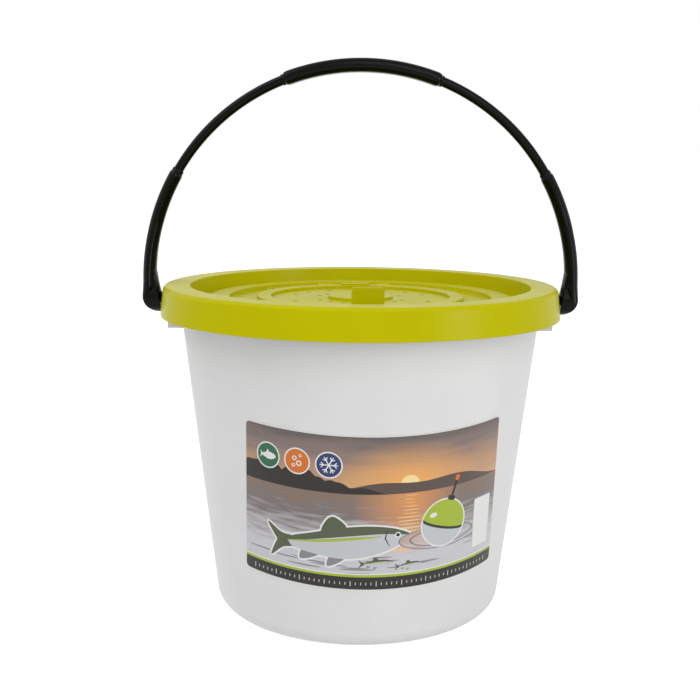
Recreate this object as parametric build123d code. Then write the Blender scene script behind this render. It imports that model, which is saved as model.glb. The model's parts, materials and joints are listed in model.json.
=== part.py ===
from build123d import *

import os
from math import atan, cos, degrees, radians, sin, sqrt

# Insulated bait bucket: a white outer pail, a foam liner, a lime lid with a vented door that opens
# upwards, and a black bail that swings on two ears of the pail.
# Millimetres, +Z up. The origin is the centre of the base, on the surface that the bucket stands on.
# +X runs along the bail's pivots. The label and the door's finger tab face the front, which is -Y.

# Outer pail
PAIL_HEIGHT = 272.1
PAIL_BASE_RADIUS = 121.5
PAIL_MOUTH_RADIUS = 153.3
PAIL_WALL = 2.5
PAIL_FLOOR = 2.5
BASE_CORNER_RADIUS = 14.0
FOOT_RING_WIDTH = 7.0
FOOT_RING_HEIGHT = 2.0
LIP_OVERHANG = 9.3
LIP_WALL = 2.4
LIP_DEPTH = 23.4
LIP_ROUNDING = 1.2

# Ears, which hang from the lip at both ends of the X axis and hold the pivots
EAR_WIDTH = 34.0
EAR_DEPTH = 34.4
EAR_WALL = 2.4

# Foam liner
LINER_GAP = 0.3
LINER_WALL = 25.4
LINER_CORNER_RADIUS = 6.0
LINER_TOP_GAP = 0.7

# Lid
LID_WALL = 2.3
LID_REST_GAP = 0.3
LID_SIDE_GAP = 0.5
SKIRT_DEPTH = 24.4
SKIRT_DRAFT = 2.7
RIM_ROUNDING = 3.5
RIM_WIDTH = 22.1
GUTTER_WIDTH = 16.9
GUTTER_DEPTH = 14.7
GUTTER_DRAFT = 1.6
RING_WIDTH = 15.5
RING_DROP = 9.5
RING_DRAFT = 1.0
GROOVE_WIDTH = 23.4
GROOVE_DEPTH = 13.7
STEP_ROUNDING = 0.8
LID_TURN = 3.0
NOTCH_PLAY = 2.0
NOTCH_HEADROOM = 4.6

# Air hose hole through the lid
HOSE_BORE_RADIUS = 3.6
HOSE_COLLAR_WALL = 2.6
HOSE_COLLAR_RISE = 2.5
HOSE_COLLAR_DROP = 2.0
HOSE_HOLE_ANGLE = 140.0

# Door in the lid
DOOR_RING_WIDTH = 11.8
DOOR_RING_HEIGHT = 3.9
DOOR_SEAT_GAP = 0.3
DOOR_FLOOR_DROP = 2.6
DOOR_WALL = 2.2
DOOR_PLUG_DEPTH = 5.3
DOOR_PLUG_GAP = 0.6
DOOR_BOSS_RADIUS = 27.5
DOOR_BOSS_HEIGHT = 2.4
DOOR_RIB_WIDTH = 2.0
DOOR_RIB_HEIGHT = 2.5
VENT_HOLE_RADIUS = 2.2
VENT_BOSS_MARGIN = 10.1
VENT_WALL_MARGIN = 15.2
VENT_ANGLE_STEP = 21.0
TAB_WIDTH = 25.0
TAB_REACH = 10.5
TAB_THICKNESS = 3.0
TAB_HEIGHT = 20.6
TAB_ROUNDING = 1.4
BRIDGE_WIDTH = 25.5
BRIDGE_LENGTH = 9.0
BRIDGE_HEIGHT = 1.5

# Door hinge: a round bar at the back of each door leg turns in an open clip on the lid
HINGE_REACH = 9.5
HINGE_RISE = 0.6
HINGE_SPACING = 54.5
HINGE_BAR_RADIUS = 1.7
HINGE_FIT = 0.1
LEG_WIDTH = 21.0
LEG_WINDOW_WIDTH = 13.7
LEG_WINDOW_LENGTH = 4.4
CLIP_SIDE_GAP = 0.5
CLIP_WALL = 1.65
CLIP_MOUTH = 2.9
POCKET_GAP = 1.0
HINGE_CLEARANCE = 1.2

# Bail: its upper part is a half circle, and straight feet reach down to the pivots below the mouth
PIVOT_DROP = 10.1
BAIL_CENTRE_RISE = 14.5
ROD_RADIUS = 4.05
ROD_FIT = 0.05
GRIP_HALF_ANGLE = 21.4
GRIP_THICKNESS = 11.4
GRIP_WIDTH = 17.0
GRIP_CORNER_RADIUS = 5.5
GRIP_END_ROUNDING = 4.0
COLLAR_LENGTH = 2.0
COLLAR_RADIUS = 4.9
LEG_TOP_ANGLE = 30.7
LEG_THICKNESS = 11.1
LEG_BREADTH = 15.0
LEG_CORNER_RADIUS = 5.3
LEG_END_ROUNDING = 4.0
SOCKET_DEPTH = 25.0
FOOT_RADIUS = 13.0
FOOT_LENGTH = 15.1
FOOT_CORNER_RADIUS = 16.5
FOOT_TAPER_ANGLE = 16.0
FOOT_TAPER_SECTIONS = 4
FOOT_GAP = 1.1
BOSS_STEP = 0.5
GUSSET_RISE = 25.0
GUSSET_WIDTH = 15.0
GUSSET_TOE_RISE = 0.5
TRUNNION_RADIUS = 4.4
TRUNNION_FIT = 0.1
TRUNNION_END_GAP = 0.2

# Label, a flat rectangle bent round the cone of the wall
LABEL_HALF_WIDTH = 98.5
LABEL_HEIGHT = 125.1
LABEL_BOTTOM = 51.4
LABEL_EDGE_SAG = 6.0
LABEL_CORNER_RADIUS = 4.0
LABEL_THICKNESS = 0.3
LABEL_GAP = 0.1
LABEL_ANGLE = 6.0

# Holder for a battery aerator, on the back of the pail
HOLDER_WIDTH = 56.0
HOLDER_HEIGHT = 36.0
HOLDER_DROP = 48.1
HOLDER_STANDOFF = 9.0
HOLDER_WALL = 2.4
HOLDER_FLANGE_WIDTH = 12.0
HOLDER_FLANGE_THICKNESS = 2.0
HOLDER_FLANGE_GAP = 0.1

# Places worked out from the sizes above
wall_slope = (PAIL_MOUTH_RADIUS - PAIL_BASE_RADIUS) / PAIL_HEIGHT
wall_angle = atan(wall_slope)
pail_floor_top = FOOT_RING_HEIGHT + PAIL_FLOOR
lip_radius = PAIL_MOUTH_RADIUS + LIP_OVERHANG
lip_bottom = PAIL_HEIGHT - LIP_DEPTH
lip_inner_radius = lip_radius - LIP_WALL
flange_bottom = PAIL_HEIGHT - LIP_WALL
ear_bottom = PAIL_HEIGHT - EAR_DEPTH
pivot_height = PAIL_HEIGHT - PIVOT_DROP
holder_bottom = PAIL_HEIGHT - HOLDER_DROP - HOLDER_HEIGHT

lid_top = PAIL_HEIGHT + LID_REST_GAP + LID_WALL
skirt_bottom = lid_top - SKIRT_DEPTH
skirt_top_radius = lip_radius + LID_SIDE_GAP + LID_WALL
skirt_bottom_radius = skirt_top_radius + SKIRT_DRAFT
rim_inner_radius = skirt_top_radius - RIM_WIDTH
gutter_floor = lid_top - GUTTER_DEPTH
ring_outer_radius = rim_inner_radius - GUTTER_WIDTH
ring_inner_radius = ring_outer_radius - RING_WIDTH
ring_top = lid_top - RING_DROP
groove_floor = lid_top - GROOVE_DEPTH
door_radius = ring_inner_radius - GROOVE_WIDTH
opening_radius = door_radius - DOOR_RING_WIDTH + DOOR_WALL + DOOR_PLUG_GAP
notch_top = pivot_height + TRUNNION_RADIUS + NOTCH_HEADROOM
notch_half_width = TRUNNION_RADIUS + NOTCH_PLAY + skirt_bottom_radius * sin(radians(LID_TURN))

liner_bottom = pail_floor_top + LINER_GAP
liner_top = gutter_floor - LID_WALL - LINER_TOP_GAP
well_floor = liner_bottom + LINER_WALL

door_ring_bottom = groove_floor + DOOR_SEAT_GAP
door_ring_top = door_ring_bottom + DOOR_RING_HEIGHT
door_floor_top = door_ring_top - DOOR_FLOOR_DROP
door_inner_radius = door_radius - DOOR_RING_WIDTH
door_plug_radius = opening_radius - DOOR_PLUG_GAP
door_plug_bottom = door_ring_bottom - DOOR_PLUG_DEPTH
vent_ring_inner = DOOR_BOSS_RADIUS + VENT_BOSS_MARGIN
vent_ring_outer = door_inner_radius - VENT_WALL_MARGIN

hinge_y = door_radius + HINGE_REACH
hinge_z = groove_floor + HINGE_RISE
clip_radius = HINGE_BAR_RADIUS + HINGE_FIT + CLIP_WALL
pocket_floor = hinge_z - HINGE_BAR_RADIUS - HINGE_CLEARANCE

foot_inner_x = skirt_bottom_radius + FOOT_GAP
foot_outer_x = foot_inner_x + FOOT_LENGTH
foot_bottom = pivot_height - FOOT_RADIUS
bail_radius = foot_outer_x - LEG_THICKNESS / 2
leg_inner_x = bail_radius - LEG_THICKNESS / 2
bail_centre_height = pivot_height + BAIL_CENTRE_RISE
rod_end_angle = LEG_TOP_ANGLE - degrees(SOCKET_DEPTH / bail_radius)
bail_axis = Axis((0, 0, bail_centre_height), (0, -1, 0))


def wall_radius(z, inwards=0.0):
    """Radius of the pail's outer wall at height z, moved inwards by a horizontal distance."""
    return PAIL_BASE_RADIUS - inwards + wall_slope * z


def horizontal(thickness):
    """Horizontal distance across a wall of this thickness that leans as the pail's wall does."""
    return thickness / cos(wall_angle)


def floor_corner(inwards, floor, radius):
    """Start, middle and end of the arc that joins a floor to a wall parallel to the pail's."""
    centre_z = floor + radius
    centre_r = wall_radius(centre_z, inwards) - radius / cos(wall_angle)
    middle = radians(-90 - degrees(wall_angle)) / 2
    return (
        (centre_r, floor),
        (centre_r + radius * cos(middle), centre_z + radius * sin(middle)),
        (centre_r + radius * cos(wall_angle), centre_z - radius * sin(wall_angle)),
    )


def revolved(*edges):
    """Solid turned about Z from the closed outline that these edges make in the XZ plane."""
    outline = Curve() + list(edges)
    return revolve(Plane.XZ * make_face(outline.edges()), axis=Axis.Z)


def turned(points, roundings=None):
    """Solid turned about Z from a polygon of (radius, height) points, with some corners rounded."""
    outline = make_face(Polyline(*points, close=True).edges())
    for point, radius in (roundings or {}).items():
        corner = outline.vertices().sort_by_distance((point[0], point[1], 0))[0]
        outline = fillet(corner, radius)
    return revolve(Plane.XZ * outline, axis=Axis.Z)


def wall_cone(outwards=0.0):
    """Solid cone of the pail's outer wall, grown outwards by a horizontal distance."""
    return turned(
        [
            (0, 0),
            (PAIL_BASE_RADIUS + outwards, 0),
            (PAIL_MOUTH_RADIUS + outwards, PAIL_HEIGHT),
            (0, PAIL_HEIGHT),
        ]
    )


def block(x_range, y_range, z_range):
    """Box between two corners."""
    size = [high - low for low, high in (x_range, y_range, z_range)]
    centre = [(high + low) / 2 for low, high in (x_range, y_range, z_range)]
    return Pos(*centre) * Box(*size)


def rod_along_x(x_range, y, z, radius):
    """Cylinder along X between two places."""
    length = x_range[1] - x_range[0]
    return Pos((x_range[0] + x_range[1]) / 2, y, z) * Rot(0, 90, 0) * Cylinder(radius, length)


def rod_along_y(x, y_range, z, radius):
    """Cylinder along Y between two places."""
    length = y_range[1] - y_range[0]
    return Pos(x, (y_range[0] + y_range[1]) / 2, z) * Rot(90, 0, 0) * Cylinder(radius, length)


def mirrored_pair(solid):
    """The solid and its copy at the other end of the X axis, turned half round Z."""
    return [solid, Rot(0, 0, 180) * solid]


def make_outer_pail():
    """White pail with a foot ring, a turned-down lip and an open-backed ear at each pivot."""
    wall_across = horizontal(PAIL_WALL)
    outer = floor_corner(0, 0, BASE_CORNER_RADIUS)
    inner_corner_radius = BASE_CORNER_RADIUS - PAIL_WALL
    inner = floor_corner(wall_across, pail_floor_top, inner_corner_radius)
    ring_inner_radius = outer[0][0] - FOOT_RING_WIDTH
    lip_top_start = (lip_radius, PAIL_HEIGHT - LIP_ROUNDING)
    lip_top_end = (lip_radius - LIP_ROUNDING, PAIL_HEIGHT)
    shell = revolved(
        Polyline(
            (0, pail_floor_top),
            (0, FOOT_RING_HEIGHT),
            (ring_inner_radius, FOOT_RING_HEIGHT),
            (ring_inner_radius, 0),
            outer[0],
        ),
        ThreePointArc(*outer),
        Polyline(
            outer[2],
            (wall_radius(flange_bottom), flange_bottom),
            (lip_inner_radius, flange_bottom),
            (lip_inner_radius, ear_bottom),
            (lip_radius, ear_bottom),
            lip_top_start,
        ),
        RadiusArc(lip_top_start, lip_top_end, -LIP_ROUNDING),
        Polyline(lip_top_end, (wall_radius(PAIL_HEIGHT, wall_across), PAIL_HEIGHT), inner[2]),
        ThreePointArc(*reversed(inner)),
        Line(inner[0], (0, pail_floor_top)),
    )
    half = EAR_WIDTH / 2
    beyond = lip_radius + LIP_WALL
    band_z = (ear_bottom - LIP_WALL, lip_bottom)
    below_lip = turned(
        [
            (lip_inner_radius - LIP_WALL / 2, band_z[0]),
            (beyond, band_z[0]),
            (beyond, band_z[1]),
            (lip_inner_radius - LIP_WALL / 2, band_z[1]),
        ]
    )
    shell -= below_lip - block((-beyond, beyond), (-half, half), band_z)

    gusset_z = (ear_bottom, flange_bottom + LIP_WALL / 2)
    gusset_x = (PAIL_BASE_RADIUS, beyond)
    gussets = Part() + [
        block(gusset_x, (-half, EAR_WALL - half), gusset_z),
        block(gusset_x, (half - EAR_WALL, half), gusset_z),
    ]
    inside_lip = Pos(0, 0, PAIL_HEIGHT / 2) * Cylinder(lip_radius - LIP_WALL / 2, PAIL_HEIGHT)
    gussets = (gussets & inside_lip) - wall_cone(-wall_across / 2)
    pivot_x = (lip_inner_radius - EAR_WALL, beyond)
    pivot = rod_along_x(pivot_x, 0, pivot_height, TRUNNION_RADIUS + TRUNNION_FIT)
    for turn in (0, 180):
        shell += Rot(0, 0, turn) * gussets
        shell -= Rot(0, 0, turn) * pivot
    return shell


def make_foam_pieces():
    """Wall and floor of the thick foam bucket inside the pail, parted at the top of its inside corner."""
    outer_inwards = horizontal(PAIL_WALL + LINER_GAP)
    inner_inwards = horizontal(PAIL_WALL + LINER_GAP + LINER_WALL)
    outer = floor_corner(outer_inwards, liner_bottom, BASE_CORNER_RADIUS - PAIL_WALL)
    inner = floor_corner(inner_inwards, well_floor, LINER_CORNER_RADIUS)
    bucket = revolved(
        Polyline((0, well_floor), (0, liner_bottom), outer[0]),
        ThreePointArc(*outer),
        Polyline(
            outer[2],
            (wall_radius(liner_top, outer_inwards), liner_top),
            (wall_radius(liner_top, inner_inwards), liner_top),
            inner[2],
        ),
        ThreePointArc(*reversed(inner)),
        Line(inner[0], (0, well_floor)),
    )
    joint_height = inner[2][1]
    below_joint = Pos(0, 0, joint_height / 2) * Cylinder(PAIL_MOUTH_RADIUS, joint_height)
    return bucket - below_joint, bucket & below_joint


def hinge_places():
    """Centres of the two hinge legs along the hinge."""
    return [side * HINGE_SPACING / 2 for side in (-1, 1)]


def make_hinge_clip(x):
    """Open clip on the lid that one leg's bar snaps into, with the post that carries it."""
    half = LEG_WINDOW_WIDTH / 2 - CLIP_SIDE_GAP
    x_range = (x - half, x + half)
    eye_radius = HINGE_BAR_RADIUS + HINGE_FIT
    clip = rod_along_x(x_range, hinge_y, hinge_z, clip_radius)
    post_y = (hinge_y - clip_radius, hinge_y + clip_radius)
    clip += block(x_range, post_y, (pocket_floor - LID_WALL, hinge_z))
    clip -= rod_along_x(x_range, hinge_y, hinge_z, eye_radius)
    mouth = block(x_range, (-CLIP_MOUTH / 2, CLIP_MOUTH / 2), (0, 2 * clip_radius))
    return clip - Pos(0, hinge_y, hinge_z) * Rot(-45, 0, 0) * mouth


def make_lid_cover():
    """Lime lid with a deep skirt, a gutter, a raised ring, the door's seat and hinge, and a hose hole."""
    rim_wall_foot = rim_inner_radius - GUTTER_DRAFT
    top_side = [
        (opening_radius, groove_floor),
        (ring_inner_radius - RING_DRAFT, groove_floor),
        (ring_inner_radius, ring_top),
        (ring_outer_radius, ring_top),
        (ring_outer_radius + RING_DRAFT, gutter_floor),
        (rim_wall_foot, gutter_floor),
        (rim_inner_radius, lid_top),
        (skirt_top_radius, lid_top),
        (skirt_bottom_radius, skirt_bottom),
    ]
    under_side = [
        (skirt_bottom_radius - LID_WALL, skirt_bottom),
        (skirt_top_radius - LID_WALL, lid_top - LID_WALL),
        (rim_inner_radius + LID_WALL, lid_top - LID_WALL),
        (rim_wall_foot + LID_WALL, gutter_floor - LID_WALL),
        (ring_outer_radius + RING_DRAFT - LID_WALL, gutter_floor - LID_WALL),
        (ring_outer_radius - LID_WALL, ring_top - LID_WALL),
        (ring_inner_radius + LID_WALL, ring_top - LID_WALL),
        (ring_inner_radius - RING_DRAFT + LID_WALL, groove_floor - LID_WALL),
        (opening_radius, groove_floor - LID_WALL),
    ]
    roundings = {point: STEP_ROUNDING for point in top_side[1:7]}
    roundings[top_side[7]] = RIM_ROUNDING
    roundings[under_side[1]] = RIM_ROUNDING - LID_WALL
    lid = turned(top_side + under_side, roundings)

    notch_x = (lip_inner_radius, skirt_bottom_radius + LID_WALL)
    notch = block(notch_x, (-notch_half_width, notch_half_width), (skirt_bottom - LID_WALL, notch_top))
    lid -= mirrored_pair(notch)

    pocket_half = LEG_WIDTH / 2 + POCKET_GAP
    pocket_y = (door_radius - POCKET_GAP, hinge_y + clip_radius + HINGE_CLEARANCE)
    for x in hinge_places():
        x_range = (x - pocket_half, x + pocket_half)
        tub_x = (x_range[0] - LID_WALL, x_range[1] + LID_WALL)
        tub_y = (pocket_y[0] - LID_WALL, pocket_y[1] + LID_WALL)
        lid += block(tub_x, tub_y, (pocket_floor - LID_WALL, groove_floor))
        lid -= block(x_range, pocket_y, (pocket_floor, groove_floor + LID_WALL))
        lid += make_hinge_clip(x)

    hose_radius = (opening_radius + ring_inner_radius) / 2 + HOSE_COLLAR_WALL
    hose_place = Rot(0, 0, HOSE_HOLE_ANGLE) * Pos(hose_radius, 0, 0)
    collar_bottom = groove_floor - LID_WALL - HOSE_COLLAR_DROP
    collar_length = HOSE_COLLAR_DROP + LID_WALL + HOSE_COLLAR_RISE
    collar_middle = Pos(0, 0, collar_bottom + collar_length / 2)
    lid += hose_place * collar_middle * Cylinder(HOSE_BORE_RADIUS + HOSE_COLLAR_WALL, collar_length)
    lid -= hose_place * collar_middle * Cylinder(HOSE_BORE_RADIUS, collar_length)
    return Rot(0, 0, LID_TURN) * lid


def make_vent_holes():
    """Rods that cut the vent holes: two rings, and three holes of each in every quarter."""
    length = DOOR_RING_HEIGHT + DOOR_WALL
    rods = []
    for ring in (vent_ring_inner, vent_ring_outer):
        for quarter in range(4):
            for step in (-1, 0, 1):
                place = Rot(0, 0, 45 + 90 * quarter + step * VENT_ANGLE_STEP) * Pos(ring, 0, door_floor_top)
                rods.append(place * Cylinder(VENT_HOLE_RADIUS, length))
    return rods


def make_door_leg(x):
    """Hinge leg of the door: a plate with a window, and the round bar behind the window."""
    half = LEG_WIDTH / 2
    window_half = LEG_WINDOW_WIDTH / 2
    widest = HINGE_SPACING / 2 + half
    root_y = sqrt(door_radius**2 - widest**2) - STEP_ROUNDING
    plate_bottom = door_ring_bottom + STEP_ROUNDING / 2
    plate_top = door_ring_top - STEP_ROUNDING
    side = make_face(
        Polyline(
            (root_y, plate_bottom),
            (door_radius, plate_bottom),
            (hinge_y, hinge_z - HINGE_BAR_RADIUS),
            (hinge_y, hinge_z + HINGE_BAR_RADIUS),
            (door_radius, plate_top),
            (root_y, plate_top),
            close=True,
        ).edges()
    )
    leg = extrude(Plane.YZ * side, half, both=True)
    window_y = (hinge_y - HINGE_BAR_RADIUS - LEG_WINDOW_LENGTH, hinge_y + HINGE_BAR_RADIUS)
    leg -= block((-window_half, window_half), window_y, (hinge_z - clip_radius, door_ring_top + DOOR_WALL))
    leg += rod_along_x((-half, half), hinge_y, hinge_z, HINGE_BAR_RADIUS)
    return Pos(x, 0, 0) * leg


def make_access_door():
    """Round vented door: raised ring, plug that drops into the lid, boss, finger tab and hinge legs."""
    floor_bottom = door_floor_top - DOOR_WALL
    boss_top = door_floor_top + DOOR_BOSS_HEIGHT
    boss_inner = DOOR_BOSS_RADIUS - DOOR_WALL
    plug_inner = door_plug_radius - DOOR_WALL
    ring_corner_out = (door_radius, door_ring_top)
    ring_corner_in = (door_inner_radius, door_ring_top)
    boss_corner = (DOOR_BOSS_RADIUS, boss_top)
    door = turned(
        [
            (0, boss_top - DOOR_WALL),
            (0, boss_top),
            boss_corner,
            (DOOR_BOSS_RADIUS, door_floor_top),
            (door_inner_radius, door_floor_top),
            ring_corner_in,
            ring_corner_out,
            (door_radius, door_ring_bottom),
            (door_plug_radius, door_ring_bottom),
            (door_plug_radius, door_plug_bottom),
            (plug_inner, door_plug_bottom),
            (plug_inner, floor_bottom),
            (boss_inner, floor_bottom),
            (boss_inner, boss_top - DOOR_WALL),
        ],
        {ring_corner_out: STEP_ROUNDING, ring_corner_in: STEP_ROUNDING, boss_corner: STEP_ROUNDING},
    )
    rib_z = (floor_bottom - DOOR_RIB_HEIGHT, floor_bottom + DOOR_WALL / 2)
    rib_x = (boss_inner, plug_inner + DOOR_WALL / 2)
    rib = block(rib_x, (-DOOR_RIB_WIDTH / 2, DOOR_RIB_WIDTH / 2), rib_z)
    door += [Rot(0, 0, 90 * quarter) * rib for quarter in range(4)]
    door -= make_vent_holes()

    tab_half = TAB_WIDTH / 2
    tab_front = -(door_radius + TAB_REACH)
    tab_bottom = door_ring_top - DOOR_FLOOR_DROP
    tab_x = (-tab_half, tab_half)
    tab_z = (tab_bottom, groove_floor + TAB_HEIGHT)
    tab_plate = block(tab_x, (tab_front, tab_front + TAB_THICKNESS), tab_z)
    tab_plate = fillet(tab_plate.edges().filter_by(Axis.Y).group_by(Axis.Z)[-1], TAB_ROUNDING)
    tab_foot = block(tab_x, (tab_front, DOOR_RING_WIDTH / 2 - door_radius), (tab_bottom, door_ring_top))
    door += tab_plate + tab_foot

    bridge_half = BRIDGE_WIDTH / 2
    bridge_back = sqrt(door_radius**2 - bridge_half**2)
    bridge_y = (bridge_back - BRIDGE_LENGTH, bridge_back)
    bridge_z = (door_floor_top, door_ring_top + BRIDGE_HEIGHT)
    door += block((-bridge_half, bridge_half), bridge_y, bridge_z)
    door += [make_door_leg(x) for x in hinge_places()]
    return Rot(0, 0, LID_TURN) * door


def on_bail(angle, shape):
    """The shape moved to the bail's circle, at an angle above the +X side."""
    return Pos(0, 0, bail_centre_height) * Rot(0, -angle, 0) * Pos(bail_radius, 0, 0) * shape


def bail_arc(section, start_angle, end_angle):
    """Solid swept by a section along the bail's circle, between two angles above the +X side."""
    return revolve(on_bail(start_angle, section), axis=bail_axis, revolution_arc=end_angle - start_angle)


def make_bail_rod():
    """Thin round rod that runs from leg to leg through the grip."""
    return bail_arc(Circle(ROD_RADIUS), rod_end_angle, 180 - rod_end_angle)


def make_hand_grip():
    """Moulded grip round the top of the rod, with rounded ends and a short collar at each."""
    start = 90 - GRIP_HALF_ANGLE
    end = 90 + GRIP_HALF_ANGLE
    section = RectangleRounded(GRIP_THICKNESS, GRIP_WIDTH, GRIP_CORNER_RADIUS)
    collar_angle = degrees(COLLAR_LENGTH / bail_radius)
    grip = bail_arc(section, start, end)
    end_faces = grip.faces().filter_by(GeomType.PLANE).sort_by(Axis.X)
    grip = fillet(end_faces[0].edges() + end_faces[-1].edges(), GRIP_END_ROUNDING)
    grip += bail_arc(Circle(COLLAR_RADIUS), start - collar_angle, end + collar_angle)
    margin = 2 * collar_angle
    return grip - bail_arc(Circle(ROD_RADIUS + ROD_FIT), start - margin, end + margin)


def leg_section(breadth):
    """Cross-section of a leg with this breadth."""
    return RectangleRounded(LEG_THICKNESS, breadth, LEG_CORNER_RADIUS)


def make_foot():
    """Lower end of the leg at +X: it widens to a round end about the pivot, with one large corner."""
    taper_top = bail_centre_height + bail_radius * sin(radians(FOOT_TAPER_ANGLE))
    widening = (2 * FOOT_RADIUS - LEG_BREADTH) / (taper_top - pivot_height)
    sections = [Pos(bail_radius, 0, pivot_height) * leg_section(2 * FOOT_RADIUS)]
    for step in range(FOOT_TAPER_SECTIONS):
        angle = FOOT_TAPER_ANGLE * step / (FOOT_TAPER_SECTIONS - 1)
        height = bail_centre_height + bail_radius * sin(radians(angle))
        breadth = LEG_BREADTH + widening * (taper_top - height)
        sections.append(on_bail(angle, leg_section(breadth)))
    foot = loft(sections)
    front_half = Pos(bail_radius, FOOT_RADIUS / 2) * Rectangle(2 * LEG_THICKNESS, FOOT_RADIUS)
    end_section = (Pos(bail_radius, 0) * leg_section(2 * FOOT_RADIUS)) & front_half
    pivot_axis = Axis((0, 0, pivot_height), (1, 0, 0))
    foot += revolve(Pos(0, 0, pivot_height) * end_section, axis=pivot_axis, revolution_arc=-180)

    outline = make_face(
        Polyline(
            (foot_inner_x, foot_bottom),
            (foot_inner_x, pivot_height + GUSSET_TOE_RISE),
            (leg_inner_x, pivot_height + GUSSET_RISE),
            (leg_inner_x + LEG_CORNER_RADIUS, pivot_height + GUSSET_RISE),
            (bail_radius, foot_bottom),
            close=True,
        ).edges()
    )
    boss = rod_along_x((foot_inner_x, bail_radius), 0, pivot_height, FOOT_RADIUS - BOSS_STEP)
    foot += boss & extrude(Plane.XZ * outline, FOOT_RADIUS, both=True)
    above_pivot = Pos(bail_radius, pivot_height + GUSSET_RISE) * Rectangle(4 * FOOT_RADIUS, 2 * GUSSET_RISE)
    web = outline & above_pivot
    foot += extrude(Plane.XZ * web, GUSSET_WIDTH / 2, both=True)

    corner_x = foot_outer_x - FOOT_CORNER_RADIUS
    corner_z = foot_bottom + FOOT_CORNER_RADIUS
    reach = 2 * FOOT_RADIUS
    beyond = block((corner_x, foot_outer_x + reach), (-reach, reach), (foot_bottom - reach, corner_z))
    return foot - (beyond - rod_along_y(corner_x, (-reach, reach), corner_z, FOOT_CORNER_RADIUS))


def make_bail_leg():
    """Leg at the +X end: curved arm with a socket for the rod, and a foot with the trunnion."""
    leg = bail_arc(leg_section(LEG_BREADTH), FOOT_TAPER_ANGLE, LEG_TOP_ANGLE)
    end_edges = leg.faces().sort_by(Axis.Z)[-1].edges()
    leg = fillet(end_edges, LEG_END_ROUNDING)
    leg += make_foot()

    trunnion_x = (lip_inner_radius + TRUNNION_END_GAP, foot_inner_x)
    leg += rod_along_x(trunnion_x, 0, pivot_height, TRUNNION_RADIUS)

    collar_angle = degrees(COLLAR_LENGTH / bail_radius)
    socket_end = LEG_TOP_ANGLE + 2 * collar_angle
    leg += bail_arc(Circle(COLLAR_RADIUS), LEG_TOP_ANGLE - 2 * collar_angle, LEG_TOP_ANGLE + collar_angle)
    socket_start = rod_end_angle - degrees(ROD_FIT / bail_radius)
    return leg - bail_arc(Circle(ROD_RADIUS + ROD_FIT), socket_start, socket_end)


def make_label():
    """Film label: the part of a thin layer on the wall that lies behind a front-view outline."""
    half = LABEL_HALF_WIDTH
    top = LABEL_BOTTOM + LABEL_HEIGHT
    raised_bottom = LABEL_BOTTOM + LABEL_EDGE_SAG
    raised_top = top + LABEL_EDGE_SAG
    outline = make_face(
        [
            ThreePointArc((-half, raised_bottom), (0, LABEL_BOTTOM), (half, raised_bottom)),
            Line((half, raised_bottom), (half, raised_top)),
            ThreePointArc((half, raised_top), (0, top), (-half, raised_top)),
            Line((-half, raised_top), (-half, raised_bottom)),
        ]
    )
    outline = fillet(outline.vertices(), LABEL_CORNER_RADIUS)
    prism = extrude(Plane.XZ * outline, PAIL_MOUTH_RADIUS + LABEL_THICKNESS)
    film = wall_cone(LABEL_GAP + LABEL_THICKNESS) - wall_cone(LABEL_GAP)
    return Rot(0, 0, LABEL_ANGLE) * (film & prism)


def make_aerator_holder():
    """Loop on the back of the pail that the clip of a battery aerator slips into."""
    half = HOLDER_WIDTH / 2
    z_range = (holder_bottom, holder_bottom + HOLDER_HEIGHT)
    inner_y = wall_radius(z_range[1]) + HOLDER_STANDOFF
    outer_y = inner_y + HOLDER_WALL
    loop = block((-half, half), (0, outer_y), z_range)
    loop -= block((HOLDER_WALL - half, half - HOLDER_WALL), (0, inner_y), z_range)
    flange_half = half + HOLDER_FLANGE_WIDTH
    flange = wall_cone(HOLDER_FLANGE_GAP + HOLDER_FLANGE_THICKNESS)
    flange &= block((-flange_half, flange_half), (0, outer_y), z_range)
    flange -= block((HOLDER_WALL - half, half - HOLDER_WALL), (0, outer_y), z_range)
    return loop + flange - wall_cone(HOLDER_FLANGE_GAP)


def main():
    foam_liner, foam_floor = make_foam_pieces()
    right_leg = make_bail_leg()
    parts = {
        "outer_pail": make_outer_pail(),
        "foam_liner": foam_liner,
        "foam_floor": foam_floor,
        "lid_cover": make_lid_cover(),
        "access_door": make_access_door(),
        "bail_rod": make_bail_rod(),
        "hand_grip": make_hand_grip(),
        "bail_leg_right": right_leg,
        "bail_leg_left": Rot(0, 0, 180) * right_leg,
        "label": make_label(),
        "aerator_holder": make_aerator_holder(),
    }
    os.makedirs("parts", exist_ok=True)
    for name, part in parts.items():
        export_step(part, f"parts/{name}.step")
        print(name, len(part.solids()), round(part.volume))


main()
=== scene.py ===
"""Looks of an insulated bait bucket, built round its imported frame.

Metres, +Z up. +X runs along the bail's pivots, and the label and the door's finger tab face -Y.
"""

from __future__ import annotations

import json
import logging
import math
import random
from dataclasses import dataclass, field
from enum import Enum
from typing import Any, Callable, Sequence

import bmesh
import bpy
from mathutils import Matrix, Vector
from mathutils.geometry import delaunay_2d_cdt

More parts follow.
